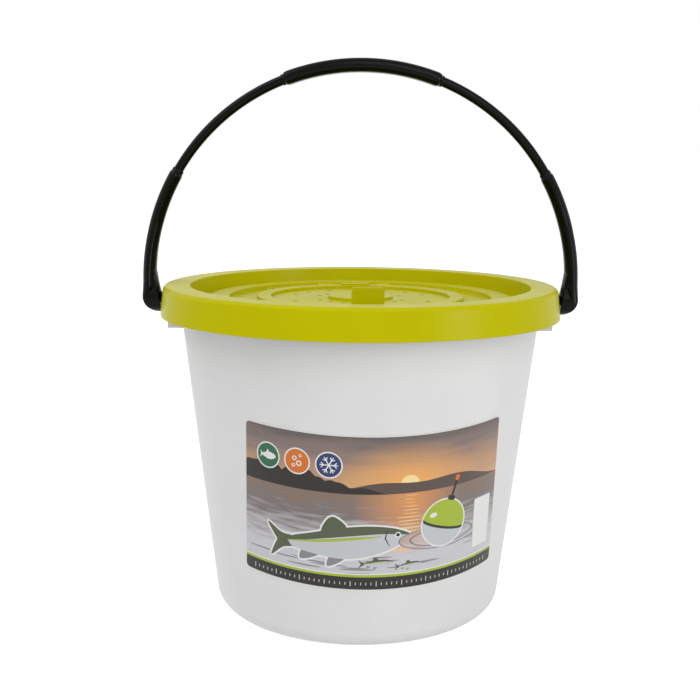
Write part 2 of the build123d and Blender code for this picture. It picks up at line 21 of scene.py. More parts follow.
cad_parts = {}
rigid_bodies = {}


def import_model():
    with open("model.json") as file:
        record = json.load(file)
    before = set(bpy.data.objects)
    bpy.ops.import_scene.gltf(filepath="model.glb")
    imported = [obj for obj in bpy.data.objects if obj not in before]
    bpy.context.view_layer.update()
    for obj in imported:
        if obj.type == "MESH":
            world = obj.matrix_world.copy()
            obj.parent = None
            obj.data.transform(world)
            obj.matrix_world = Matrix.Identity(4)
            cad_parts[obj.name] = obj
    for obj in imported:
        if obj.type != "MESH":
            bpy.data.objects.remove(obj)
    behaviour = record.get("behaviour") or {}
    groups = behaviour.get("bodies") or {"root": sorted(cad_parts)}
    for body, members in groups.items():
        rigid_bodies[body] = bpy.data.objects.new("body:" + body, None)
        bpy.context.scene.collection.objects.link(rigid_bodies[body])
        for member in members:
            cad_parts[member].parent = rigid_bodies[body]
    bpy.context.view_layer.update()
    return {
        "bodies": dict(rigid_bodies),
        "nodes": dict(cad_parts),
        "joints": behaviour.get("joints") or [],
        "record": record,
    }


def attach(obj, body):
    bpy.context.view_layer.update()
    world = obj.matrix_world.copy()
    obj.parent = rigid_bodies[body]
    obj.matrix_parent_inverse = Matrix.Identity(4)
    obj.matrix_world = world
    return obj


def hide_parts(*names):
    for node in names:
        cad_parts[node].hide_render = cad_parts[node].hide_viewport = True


LOG = logging.getLogger("bait_bucket")
MM = 0.001
# Corners of a mesh that lie nearer than this are one corner
WELD = 0.001 * MM
LABEL_MAP = "flat_film"
POLYPROPYLENE_IOR = 1.49
# Ranges that nearly all of a noise with several octaves, or with one, lies in
SOFT_NOISE = {"From Min": 0.3, "From Max": 0.7}
FINE_NOISE = {"From Min": 0.35, "From Max": 0.65}
# Sockets of a colour Mix node, by number because other sockets of it have the same names
SHARE, FIRST, SECOND, MIXED = 0, 6, 7, 2
# What the cutter of the flat film keeps, and how near it lets points lie, in millimetres
INSIDE_OUTLINES = 1
CUT_TOLERANCE = 1e-4


class Slot(Enum):
    """Material slots of the record."""

    WHITE = "white_plastic"
    LIME = "lime_plastic"
    BLACK = "black_plastic"
    FOAM = "liner_foam"
    FILM = "label_film"


class Ink(Enum):
    """Inks that the label is printed with."""

    PAPER = "bare_film"
    SKY = "dusk_sky_ink"
    SUN = "sun_ink"
    HILL = "hill_ink"
    SHORE = "shore_ink"
    WATER = "water_ink"
    GLINT = "glint_ink"
    RIPPLE = "ripple_ink"
    CHARCOAL = "charcoal_ink"
    WHITE = "white_ink"
    SILVER = "silver_ink"
    OLIVE = "olive_ink"
    LIME = "lime_ink"
    ORANGE = "orange_ink"
    GREEN = "green_ink"
    NAVY = "navy_ink"


PLAIN_INKS = {
    Ink.PAPER: "#E9E8E4",
    Ink.SUN: "#FFE3A6",
    Ink.HILL: "#5D4E48",
    Ink.SHORE: "#2C2724",
    Ink.GLINT: "#F7C98C",
    Ink.RIPPLE: "#8F8B92",
    Ink.CHARCOAL: "#2B2927",
    Ink.WHITE: "#ECECEA",
    Ink.SILVER: "#C9CDD0",
    Ink.OLIVE: "#59604A",
    Ink.LIME: "#A9BE3A",
    Ink.ORANGE: "#D9762B",
    Ink.GREEN: "#2F6B4A",
    Ink.NAVY: "#33406E",
}

Tree = bpy.types.NodeTree
Socket = bpy.types.NodeSocket
Material = bpy.types.Material
Piece = bpy.types.Object
Point = tuple[float, float]
Points = tuple[Point, ...]
Place = tuple[float, float, float]
Places = tuple[Place, ...]
Outline = list[Point]
Layers = list[tuple[Ink, Outline]]


def linear(hex_colour: str) -> tuple[float, float, float, float]:
    """Turn an sRGB hex colour into the linear colour that shader sockets take.

    Args:
        hex_colour: Colour as "#RRGGBB".

    Returns:
        Linear red, green and blue, and full opacity.
    """
    channels = [int(hex_colour[i : i + 2], 16) / 255 for i in (1, 3, 5)]
    red, green, blue = (c / 12.92 if c <= 0.04045 else ((c + 0.055) / 1.055) ** 2.4 for c in channels)
    return red, green, blue, 1.0


def add_node(tree: Tree, kind: str, inputs: dict[Any, Any] | None = None, **settings: Any) -> bpy.types.Node:
    """Add a node with its settings, its constant inputs and its links.

    Args:
        tree: Node tree that gets the node.
        kind: Node type, such as "ShaderNodeMath".
        inputs: Value or output socket for each input, by the input's name or number.
        **settings: Attributes of the node.

    Returns:
        The new node.
    """
    node = tree.nodes.new(kind)
    for name, value in settings.items():
        setattr(node, name, value)
    for key, value in (inputs or {}).items():
        if isinstance(value, Socket):
            tree.links.new(value, node.inputs[key])
        else:
            node.inputs[key].default_value = value
    return node


def new_material(name: str) -> tuple[Material, Tree]:
    """Make an empty node material, and return it with its tree."""
    material = bpy.data.materials.new(name)
    material.use_nodes = True
    material.node_tree.nodes.clear()
    return material, material.node_tree


def darkened(tree: Tree, colour: Any, noise: Socket, spread: dict[str, float], share: float) -> Socket:
    """Darken a colour where a noise is low.

    Args:
        tree: The material's tree.
        colour: The colour, or its socket.
        noise: The noise.
        spread: Range of the noise that is used.
        share: Share by which the lowest noise darkens it.

    Returns:
        Socket of the darkened colour.
    """
    reach = {"Value": noise, **spread, "To Min": 1 - share, "To Max": 1.0}
    shade = add_node(tree, "ShaderNodeMapRange", reach).outputs["Result"]
    inputs = {SHARE: 1.0, FIRST: colour, SECOND: shade}
    return add_node(tree, "ShaderNodeMix", inputs, data_type="RGBA", blend_type="MULTIPLY").outputs[MIXED]


def end_material(tree: Tree, relief: Socket, depth: float, strength: float, shader: dict[str, Any]) -> None:
    """End a material with its relief and its shader.

    Args:
        tree: The material's tree.
        relief: Height of the relief, from 0 to 1.
        depth: Real depth of the relief.
        strength: Share of the relief that shows.
        shader: Value or output socket for each input of the shader.
    """
    bump = add_node(tree, "ShaderNodeBump", {"Height": relief, "Strength": strength, "Distance": depth})
    surface = add_node(tree, "ShaderNodeBsdfPrincipled", {**shader, "Normal": bump.outputs["Normal"]})
    add_node(tree, "ShaderNodeOutputMaterial", {"Surface": surface.outputs["BSDF"]})


def object_from(bm: bmesh.types.BMesh, name: str) -> Piece:
    """Turn a bmesh into an object at the origin.

    Args:
        bm: The mesh, which is freed.
        name: Name of the object and its mesh.

    Returns:
        The new object.
    """
    mesh = bpy.data.meshes.new(name)
    bm.to_mesh(mesh)
    bm.free()
    made = bpy.data.objects.new(name, mesh)
    bpy.context.scene.collection.objects.link(made)
    return made


def smooth_piece(bm: bmesh.types.BMesh, name: str, sharp_angle: float) -> Piece:
    """Turn a bmesh into a smooth-shaded object that keeps its sharp edges.

    Args:
        bm: The mesh, which is freed.
        name: Name of the object and its mesh.
        sharp_angle: Angle between faces past which an edge stays sharp, in degrees.

    Returns:
        The new object.
    """
    for face in bm.faces:
        face.smooth = True
    made = object_from(bm, name)
    made.data.set_sharp_from_angle(angle=math.radians(sharp_angle))
    return made


def bake_modifiers(piece: Piece) -> None:
    """Turn a piece and its modifiers into a plain mesh."""
    graph = bpy.context.evaluated_depsgraph_get()
    whole = piece.evaluated_get(graph)
    baked = bpy.data.meshes.new_from_object(whole, preserve_all_data_layers=True, depsgraph=graph)
    piece.modifiers.clear()
    piece.data = baked
    baked.name = piece.name


def mount(piece: Piece, body: str, slot: Slot, *nodes: str) -> None:
    """Let a piece ride on a body, and stand for CAD nodes.

    Args:
        piece: The finished piece.
        body: Body that it rides on.
        slot: Material slot of its finish; not used.
        *nodes: CAD nodes that it stands for.
    """
    if nodes:
        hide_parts(*nodes)
    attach(piece, body)
    LOG.info("made %s with %d faces", piece.name, len(piece.data.polygons))


def dress(piece: Piece, material: Material) -> None:
    """Give every slot of a piece the same material."""
    if not piece.data.materials:
        piece.data.materials.append(material)
    for place in piece.material_slots:
        place.material = material


class RuledShape:
    """Geometry Nodes tree that makes a shape by a rule, from named inputs.

    Attributes:
        tree: The tree.
        given: Sockets of its inputs, by name.
    """

    def __init__(self, name: str, inputs: dict[str, str]) -> None:
        """Start the tree.

        Args:
            name: Name of the tree.
            inputs: Kind of each input, such as "Float", by the input's name.
        """
        self.tree = bpy.data.node_groups.new(name, "GeometryNodeTree")
        face = self.tree.interface
        face.new_socket("Geometry", in_out="OUTPUT", socket_type="NodeSocketGeometry")
        self.identifiers = {
            key: face.new_socket(key, in_out="INPUT", socket_type=f"NodeSocket{kind}").identifier
            for key, kind in inputs.items()
        }
        self.given = add_node(self.tree, "NodeGroupInput").outputs

    def end(self, shape: Socket) -> None:
        """End the tree with real geometry, in the material of its Material input."""
        real = add_node(self.tree, "GeometryNodeRealizeInstances", {"Geometry": shape}).outputs[0]
        inputs = {"Geometry": real, "Material": self.given["Material"]}
        finished = add_node(self.tree, "GeometryNodeSetMaterial", inputs).outputs[0]
        add_node(self.tree, "NodeGroupOutput", {0: finished})

    def make(self, name: str, values: dict[str, Any]) -> Piece:
        """Run the tree and keep its result as a plain mesh.

        Args:
            name: Name of the piece.
            values: Value of each input, by the input's name.

        Returns:
            The piece.
        """
        piece = object_from(bmesh.new(), name)
        modifier = piece.modifiers.new(self.tree.name, "NODES")
        modifier.node_group = self.tree
        for key, value in values.items():
            modifier[self.identifiers[key]] = value
        bake_modifiers(piece)
        return piece


@dataclass(frozen=True)
class MouldedPlastic:
    """Injection-moulded polypropylene: one solid colour with a satin skin.

    The eye sees a soft, broad gloss that is a little uneven, a very fine peel from the mould's
    steel, and faint clouds where the melt flowed.

    Attributes:
        name: Name of the material.
        colour: Colour of the plastic, as sRGB hex.
        roughness: Mean roughness of the moulded skin.
        gloss: Specular level, 0.5 for a clean polypropylene skin and less for a textured one.
        gloss_spread: How far the roughness varies over the skin.
        peel_size: Size of one cell of the peel, drawn coarser than the real 0.3 mm so that it shows.
        peel_height: Height of that peel.
        flow_size: Size of the clouds.
        flow_shade: Share by which they darken the colour.
    """

    name: str
    colour: str
    roughness: float
    gloss: float
    gloss_spread: float = 0.06
    peel_size: float = 1.6 * MM
    peel_height: float = 0.012 * MM
    flow_size: float = 45 * MM
    flow_shade: float = 0.04

    def build(self) -> Material:
        """Make the material."""
        material, tree = new_material(self.name)
        place = add_node(tree, "ShaderNodeTexCoord").outputs["Object"]
        clouds = {"Vector": place, "Scale": 1 / self.flow_size, "Detail": 3.0, "Roughness": 0.55}
        flow = add_node(tree, "ShaderNodeTexNoise", clouds).outputs["Fac"]
        low, high = self.roughness - self.gloss_spread, self.roughness + self.gloss_spread
        reach = {"Value": flow, **SOFT_NOISE, "To Min": low, "To Max": high}
        cells = {"Vector": place, "Scale": 1 / self.peel_size, "Detail": 2.0, "Roughness": 0.5}
        peel = add_node(tree, "ShaderNodeTexNoise", cells).outputs["Fac"]
        shader = {
            "Base Color": darkened(tree, linear(self.colour), flow, SOFT_NOISE, self.flow_shade),
            "Roughness": add_node(tree, "ShaderNodeMapRange", reach).outputs["Result"],
            "IOR": POLYPROPYLENE_IOR,
            "Specular IOR Level": self.gloss,
        }
        end_material(tree, peel, self.peel_height, 1.0, shader)
        return material


@dataclass(frozen=True)
class BeadFoam:
    """Expanded polystyrene, moulded from steamed beads.

    The eye sees a matt, slightly warm white with a network of fine grooves where the beads meet. The grooves
    are also painted darker, as painted shade.

    Attributes:
        name: Name of the material.
        colour: Colour of a bead.
        groove_shade_colour: Darker colour in the grooves, which is painted shade for the shadow in them.
        bead_size: Width of one bead.
        groove_width: Distance from a groove's middle to a bead's full height, in beads.
        groove_depth: Depth of the grooves.
        groove_strength: Share of that depth that shows.
        roughness: Roughness of the skin.
        gloss: Specular level.
    """

    name: str = "expanded_polystyrene"
    colour: str = "#F5F5F1"
    groove_shade_colour: str = "#E0E0DA"
    bead_size: float = 3.6 * MM
    groove_width: float = 0.18
    groove_depth: float = 0.25 * MM
    groove_strength: float = 0.8
    roughness: float = 0.75
    gloss: float = 0.3

    def build(self) -> Material:
        """Make the material."""
        material, tree = new_material(self.name)
        place = add_node(tree, "ShaderNodeTexCoord").outputs["Object"]
        packing = {"Vector": place, "Scale": 1 / self.bead_size, "Randomness": 0.85}
        beads = add_node(tree, "ShaderNodeTexVoronoi", packing, feature="DISTANCE_TO_EDGE")
        reach = {"Value": beads.outputs["Distance"], "From Max": self.groove_width}
        crown = add_node(tree, "ShaderNodeMapRange", reach).outputs["Result"]
        # Painted shade: the grooves between the beads are coloured darker than the beads' crowns.
        mix = {SHARE: crown, FIRST: linear(self.groove_shade_colour), SECOND: linear(self.colour)}
        colour = add_node(tree, "ShaderNodeMix", mix, data_type="RGBA").outputs[MIXED]
        shader = {"Base Color": colour, "Roughness": self.roughness, "Specular IOR Level": self.gloss}
        end_material(tree, crown, self.groove_depth, self.groove_strength, shader)
        return material


@dataclass(frozen=True)
class PrintedFilm:
    """Ink on a polypropylene label film, under a satin varnish.

    The eye sees even, slightly grainy ink and a soft sheen with long faint waves in it. One stop is
    a plain colour, and more run up the label as a blend. A glow may be laid round one place, and
    fine level waves may stir the blend, as on water.

    Attributes:
        ink: The ink, which names the material.
        stops: Colours from the low edge to the high edge of the blend.
        low: Height on the label where the blend starts.
        high: Height where it ends.
        glow: Colour of the glow.
        glow_place: Place of the glow on the label.
        glow_reach: Distances across and up at which the glow has faded.
        glow_strength: Share of the glow's colour at its middle.
        wave: Share of the blend that the waves stir.
        wave_length: Length of one wave along the label.
        wave_flatness: That length as a multiple of the wave's height.
        grain: Share by which the ink's grain darkens it.
        grain_size: Size of the grain, drawn coarser than a real halftone so that it shows.
        sheen_length: Length of a wave in the film's sheen.
        sheen_depth: Depth of such a wave.
        roughness: Roughness of the varnish.
        gloss: Specular level of the varnish.
    """

    ink: Ink
    stops: tuple[str, ...]
    low: float = 0.0
    high: float = 1.0
    glow: str = "#000000"
    glow_place: Point = (0.0, 0.0)
    glow_reach: Point = (1.0, 1.0)
    glow_strength: float = 0.0
    wave: float = 0.0
    wave_length: float = 26 * MM
    wave_flatness: float = 9.0
    grain: float = 0.05
    grain_size: float = 0.8 * MM
    sheen_length: float = 22 * MM
    sheen_depth: float = 0.12 * MM
    roughness: float = 0.36
    gloss: float = 0.3

    def build(self) -> Material:
        """Make the material."""
        material, tree = new_material(self.ink.value)
        flat = add_node(tree, "ShaderNodeUVMap", uv_map=LABEL_MAP).outputs["UV"]
        colour = self._blended(tree, flat) if len(self.stops) > 1 else linear(self.stops[0])
        if self.glow_strength:
            colour = self._glowing(tree, flat, colour)
        dots = {"Vector": flat, "Scale": 1 / self.grain_size, "Detail": 1.0}
        grain = add_node(tree, "ShaderNodeTexNoise", dots).outputs["Fac"]
        waves = {"Vector": flat, "Scale": 1 / self.sheen_length, "Detail": 1.0}
        sheen = add_node(tree, "ShaderNodeTexNoise", waves).outputs["Fac"]
        shader = {
            "Base Color": darkened(tree, colour, grain, FINE_NOISE, self.grain),
            "Roughness": self.roughness,
            "IOR": POLYPROPYLENE_IOR,
            "Specular IOR Level": self.gloss,
        }
        end_material(tree, sheen, self.sheen_depth, 1.0, shader)
        return material

    def _blended(self, tree: Tree, flat: Socket) -> Socket:
        """Colour of the blend, by the height on the flat label."""
        height = add_node(tree, "ShaderNodeSeparateXYZ", {"Vector": flat}).outputs["Y"]
        reach = {"Value": height, "From Min": self.low, "From Max": self.high}
        share = add_node(tree, "ShaderNodeMapRange", reach).outputs["Result"]
        if self.wave:
            share = self._stirred(tree, flat, share)
        ramp = add_node(tree, "ShaderNodeValToRGB", {"Fac": share})
        stops = ramp.color_ramp.elements
        while len(stops) < len(self.stops):
            stops.new(0.5)
        for number, colour in enumerate(self.stops):
            stops[number].position = number / (len(self.stops) - 1)
            stops[number].color = linear(colour)
        return ramp.outputs["Color"]

    def _stirred(self, tree: Tree, flat: Socket, share: Socket) -> Socket:
        """Share of the blend, stirred by long level waves."""
        along = 1 / self.wave_length
        stretch = {"Vector": flat, "Scale": (along, along * self.wave_flatness, 1.0)}
        level = add_node(tree, "ShaderNodeMapping", stretch).outputs[0]
        noise = add_node(tree, "ShaderNodeTexNoise", {"Vector": level, "Scale": 1.0, "Detail": 4.0})
        reach = {"Value": noise.outputs["Fac"], **SOFT_NOISE, "To Min": -self.wave, "To Max": self.wave}
        offset = add_node(tree, "ShaderNodeMapRange", reach).outputs["Result"]
        return add_node(tree, "ShaderNodeMath", {0: share, 1: offset}).outputs[0]

    def _glowing(self, tree: Tree, flat: Socket, colour: Any) -> Socket:
        """Colour with the glow laid over it."""
        wide, tall = self.glow_reach
        across, up = self.glow_place
        scale, shift = (1 / wide, 1 / tall, 1.0), (-across / wide, -up / tall, 0.0)
        near = add_node(tree, "ShaderNodeMapping", {"Vector": flat, "Location": shift, "Scale": scale})
        ball = add_node(tree, "ShaderNodeTexGradient", {"Vector": near.outputs[0]}, gradient_type="SPHERICAL")
        fade = {0: ball.outputs["Fac"], 1: self.glow_strength}
        strength = add_node(tree, "ShaderNodeMath", fade, operation="MULTIPLY").outputs[0]
        mix = {SHARE: strength, FIRST: colour, SECOND: linear(self.glow)}
        return add_node(tree, "ShaderNodeMix", mix, data_type="RGBA").outputs[MIXED]


@dataclass(frozen=True)
class PhotoCamera:
    """Camera that repeats the photograph's view, fitted to the bucket's outlines.

    Attributes:
        image_width: Width of the photograph, in pixels.
        focal_length: Focal length, in pixels of that width.
        sensor_width: Width of the sensor, in millimetres.
        place: Where the camera stands.
        pitch_down: Angle below the horizon, in radians.
        roll: Turn about the line of sight, in radians.
    """

    image_width: float = 700.0
    focal_length: float = 1083.15
    sensor_width: float = 36.0
    place: Place = (-8.3 * MM, -918.154 * MM, 369.82 * MM)
    pitch_down: float = 0.16452
    roll: float = 0.0092

    def build(self) -> None:
        """Make the camera and give it to the scene."""
        data = bpy.data.cameras.new("photo_camera")
        data.sensor_width = self.sensor_width
        data.lens = self.sensor_width * self.focal_length / self.image_width
        data.clip_start = 10 * MM
        camera = bpy.data.objects.new("photo_camera", data)
        tilt = Matrix.Rotation(math.pi / 2 - self.pitch_down, 4, "X")
        turn = Matrix.Rotation(self.roll, 4, "Z")
        camera.matrix_world = Matrix.Translation(self.place) @ tilt @ turn
        bpy.context.scene.collection.objects.link(camera)
        bpy.context.scene.camera = camera


@dataclass(frozen=True)
class Softbox:
    """Flat lamp with a soft edge to its shadows.

    Attributes:
        name: Name of the lamp.
        place: Centre of the lamp, in metres.
        target: Point that the lamp faces, in metres.
        size: Width and height, in metres.
        power: Power, in watts.
        only_gleams: Whether it shows in gloss alone, and leaves the level of the light.
    """

    name: str
    place: Place
    target: Place
    size: Point
    power: float
    only_gleams: bool = False

    def build(self) -> None:
        """Make the lamp."""
        data = bpy.data.lights.new(self.name, "AREA")
        data.shape = "RECTANGLE"
        data.size, data.size_y = self.size
        data.energy = self.power
        lamp = bpy.data.objects.new(self.name, data)
        lamp.location = self.place
        lamp.visible_diffuse = not self.only_gleams
        lamp.rotation_mode = "QUATERNION"
        lamp.rotation_quaternion = (Vector(self.target) - Vector(self.place)).to_track_quat("-Z", "Y")
        bpy.context.scene.collection.objects.link(lamp)


@dataclass
class Studio:
    """White studio: pale floor, even daylight and large softboxes.

    Attributes:
        floor_half: Half of the floor's side, in metres.
        floor_white: Colour of the floor.
        floor_glow: Light that the floor shows the camera by itself, so that the open floor is white.
        floor_uplight: Light that the lit table throws up against the bucket.
        ambient: Strength of the even light from all round.
        lamps: The lamps.
    """

    floor_half: float = 6.0
    floor_white: str = "#E6E6E6"
    floor_glow: float = 0.8
    floor_uplight: float = 0.07
    ambient: float = 0.52
    lamps: tuple[Softbox, ...] = (
        Softbox("key_softbox", (0.45, -1.25, 1.2), (0.0, 0.0, 0.2), (1.1, 1.1), 7.2),
        Softbox("top_softbox", (-0.85, -0.3, 1.35), (0.05, 0.0, 0.27), (1.0, 1.0), 6.0),
        Softbox("side_softbox", (1.25, -0.8, 0.4), (0.0, 0.0, 0.25), (0.32, 0.32), 2.0),
        Softbox("strip_light", (1.2, -0.95, 0.3), (0.0, 0.0, 0.3), (0.1, 0.7), 6.0, only_gleams=True),
    )

    def seen(self, tree: Tree) -> Socket:
        """Socket that is 1 for camera, glossy and transmission rays."""
        path = add_node(tree, "ShaderNodeLightPath").outputs
        seen = path["Is Camera Ray"]
        for ray in ("Is Glossy Ray", "Is Transmission Ray"):
            seen = add_node(tree, "ShaderNodeMath", {0: seen, 1: path[ray]}, operation="MAXIMUM").outputs[0]
        return seen

    def build_world(self) -> None:
        """Light the scene evenly, and show white behind the bucket."""
        world = bpy.data.worlds.new("white_studio")
        world.use_nodes = True
        bpy.context.scene.world = world
        tree = world.node_tree
        tree.nodes.clear()
        white = linear("#FFFFFF")
        light = add_node(tree, "ShaderNodeBackground", {"Color": white, "Strength": self.ambient}).outputs[0]
        backdrop = add_node(tree, "ShaderNodeBackground", {"Color": white, "Strength": 1.0}).outputs[0]
        mixed = add_node(tree, "ShaderNodeMixShader", {0: self.seen(tree), 1: light, 2: backdrop}).outputs[0]
        add_node(tree, "ShaderNodeOutputWorld", {"Surface": mixed})

    def build_floor(self) -> None:
        """Make the floor, which is white where it is open and keeps the bucket's shadow."""
        bm = bmesh.new()
        bmesh.ops.create_grid(bm, x_segments=1, y_segments=1, size=self.floor_half)
        floor = object_from(bm, "studio_floor")
        material, tree = new_material("matt_studio_paint")
        matt = add_node(tree, "ShaderNodeBsdfDiffuse", {"Color": linear(self.floor_white)}).outputs[0]
        reach = {"Value": self.seen(tree), "To Min": self.floor_uplight, "To Max": self.floor_glow}
        strength = add_node(tree, "ShaderNodeMapRange", reach).outputs["Result"]
        light = {"Color": linear("#FFFFFF"), "Strength": strength}
        glow = add_node(tree, "ShaderNodeEmission", light).outputs[0]
        lit = add_node(tree, "ShaderNodeAddShader", {0: matt, 1: glow}).outputs[0]
        add_node(tree, "ShaderNodeOutputMaterial", {"Surface": lit})
        floor.data.materials.append(material)

    def build(self) -> None:
        """Make the whole studio."""
        self.build_world()
        self.build_floor()
        for lamp in self.lamps:
            lamp.build()


def circle(centre: Point, radius: float, count: int = 40, squeeze: float = 1.0) -> Outline:
    """Circle, or an ellipse where squeeze scales its height."""
    turns = [2 * math.pi * step / count for step in range(count)]
    return [(centre[0] + radius * math.cos(a), centre[1] + radius * squeeze * math.sin(a)) for a in turns]


def rounded_box(low: Point, high: Point, corner: float, steps: int = 6) -> Outline:
    """Rectangle with round corners.

    Args:
        low: Its low corner.
        high: Its high corner.
        corner: Radius of its round corners.
        steps: Sides of each round corner.

    Returns:
        The outline.
    """
    left, bottom, right, top = low[0] + corner, low[1] + corner, high[0] - corner, high[1] - corner
    outline: Outline = []
    for quarter, (across, up) in enumerate(((right, top), (left, top), (left, bottom), (right, bottom))):
        for step in range(steps + 1):
            turn = (quarter + step / steps) * math.pi / 2
            outline.append((across + corner * math.cos(turn), up + corner * math.sin(turn)))
    return outline


def smooth_loop(points: Sequence[Point], steps: int = 4) -> Outline:
    """Closed Catmull-Rom curve.

    Args:
        points: Points that it runs through.
        steps: Sides between two of them.

    Returns:
        The outline.
    """
    outline: Outline = []
    for index in range(len(points)):
        before, start, end, after = (Vector(points[(index + k - 1) % len(points)]) for k in range(4))
        for step in range(steps):
            t = step / steps
            slope = (end - before) * t
            curve = (2 * before - 5 * start + 4 * end - after) * t**2
            twist = (3 * start - before - 3 * end + after) * t**3
            outline.append(tuple(0.5 * (2 * start + slope + curve + twist)))
    return outline


def ribbon(line: Places) -> Outline:
    """Strip along a line.

    Args:
        line: Points of its middle, each with its width there.

    Returns:
        The outline.
    """
    left: Outline = []
    right: Outline = []
    for index, (across, up, width) in enumerate(line):
        ahead = Vector(line[min(index + 1, len(line) - 1)]) - Vector(line[max(index - 1, 0)])
        aside = Vector((-ahead.y, ahead.x)).normalized() * width / 2
        left.append((across + aside.x, up + aside.y))
        right.append((across - aside.x, up - aside.y))
    return right + left[::-1]


def doubled_area(outline: Outline) -> float:
    """Twice the area of an outline, below 0 where it runs clockwise."""
    return sum(a[0] * b[1] - b[0] * a[1] for a, b in zip(outline, outline[1:] + outline[:1]))


def grown(outline: Outline, by: float) -> Outline:
    """Outline moved outwards by a distance."""
    outwards = by if doubled_area(outline) > 0 else -by
    moved: Outline = []
    for index, point in enumerate(outline):
        ahead = Vector(outline[(index + 1) % len(outline)]) - Vector(outline[index - 1])
        out = Vector((ahead.y, -ahead.x)).normalized() * outwards
        moved.append((point[0] + out.x, point[1] + out.y))
    return moved


def divided(outline: Outline, step: float) -> Outline:
    """Outline with its long sides divided, so that they follow the wall."""
    finer: Outline = []
    for start, end in zip(outline, outline[1:] + outline[:1]):
        parts = max(1, math.ceil(math.dist(start, end) / step))
        for share in (part / parts for part in range(parts)):
            finer.append((start[0] + (end[0] - start[0]) * share, start[1] + (end[1] - start[1]) * share))
    return finer


def placed(outline: Outline, place: Point, size: float, turn: float = 0.0) -> Outline:
    """Unit outline brought to its size, turn and place."""
    cosine, sine = math.cos(turn) * size, math.sin(turn) * size
    return [(place[0] + x * cosine - y * sine, place[1] + x * sine + y * cosine) for x, y in outline]


@dataclass(frozen=True)
class Minnow:
    """Drawing of a small silver fish, one unit long, with its nose towards +X.

    Attributes:
        back: Points along its back, from the nose.
        belly: Points along its belly, from the tail.
        flank: Edge of the dark back on its silver side, from the tail.
        tail, dorsal, pelvic, anal: Points round each fin.
        stripe: Points of the stripe along its side, each with the stripe's width.
        gill: Points of the gill's edge, each with the edge's width.
        eye: Middle of the eye.
        eye_radii: Radius of its white and of its pupil.
    """

    back: Points = (
        (0.995, 0.0), (0.95, 0.038), (0.85, 0.078), (0.70, 0.105),
        (0.52, 0.104), (0.34, 0.074), (0.17, 0.036),
    )
    belly: Points = (
        (0.17, -0.036), (0.34, -0.086), (0.52, -0.122),
        (0.70, -0.118), (0.85, -0.086), (0.95, -0.044),
    )
    flank: Points = ((0.17, 0.004), (0.40, 0.03), (0.62, 0.042), (0.82, 0.034))
    tail: Points = (
        (0.19, 0.034), (0.10, 0.055), (0.0, 0.125), (0.035, 0.045), (0.06, 0.0),
        (0.035, -0.045), (0.0, -0.125), (0.10, -0.055), (0.19, -0.034),
    )
    dorsal: Points = ((0.40, 0.075), (0.44, 0.165), (0.50, 0.185), (0.57, 0.10))
    pelvic: Points = ((0.44, -0.10), (0.41, -0.17), (0.47, -0.16), (0.54, -0.115))
    anal: Points = ((0.25, -0.055), (0.22, -0.12), (0.28, -0.12), (0.36, -0.085))
    stripe: Places = ((0.14, 0.004, 0.004), (0.40, 0.014, 0.020), (0.62, 0.022, 0.020), (0.80, 0.018, 0.006))
    gill: Places = ((0.845, 0.055, 0.004), (0.825, 0.0, 0.010), (0.85, -0.062, 0.004))
    eye: Point = (0.915, 0.012)
    eye_radii: Point = (0.021, 0.013)

    def silhouette(self) -> Layers:
        """Fins and body, which together make its outer form."""
        loops = (
            (Ink.OLIVE, self.tail),
            (Ink.OLIVE, self.dorsal),
            (Ink.RIPPLE, self.pelvic),
            (Ink.RIPPLE, self.anal),
            (Ink.SILVER, self.back + self.belly),
        )
        return [(ink, smooth_loop(points)) for ink, points in loops]

    def markings(self) -> Layers:
        """What is drawn on the body."""
        white, pupil = (circle(self.eye, radius, count=16) for radius in self.eye_radii)
        return [
            (Ink.OLIVE, smooth_loop(self.back + self.flank)),
            (Ink.LIME, ribbon(self.stripe)),
            (Ink.CHARCOAL, ribbon(self.gill)),
            (Ink.WHITE, white),
            (Ink.CHARCOAL, pupil),
        ]

    def layers(self, place: Point, size: float, turn: float, rim: float = 0.0) -> Layers:
        """Inked outlines, the lowest first.

        Args:
            place: Place of the tail's end.
            size: Length of the fish.
            turn: Angle that its nose points up, in radians.
            rim: Width of the white rim round it, or 0 for none.

        Returns:
            Pairs of ink and outline.
        """
        outer = [(ink, placed(shape, place, size, turn)) for ink, shape in self.silhouette()]
        rims = [(Ink.WHITE, grown(shape, rim)) for _, shape in outer] if rim else []
        return rims + outer + [(ink, placed(shape, place, size, turn)) for ink, shape in self.markings()]


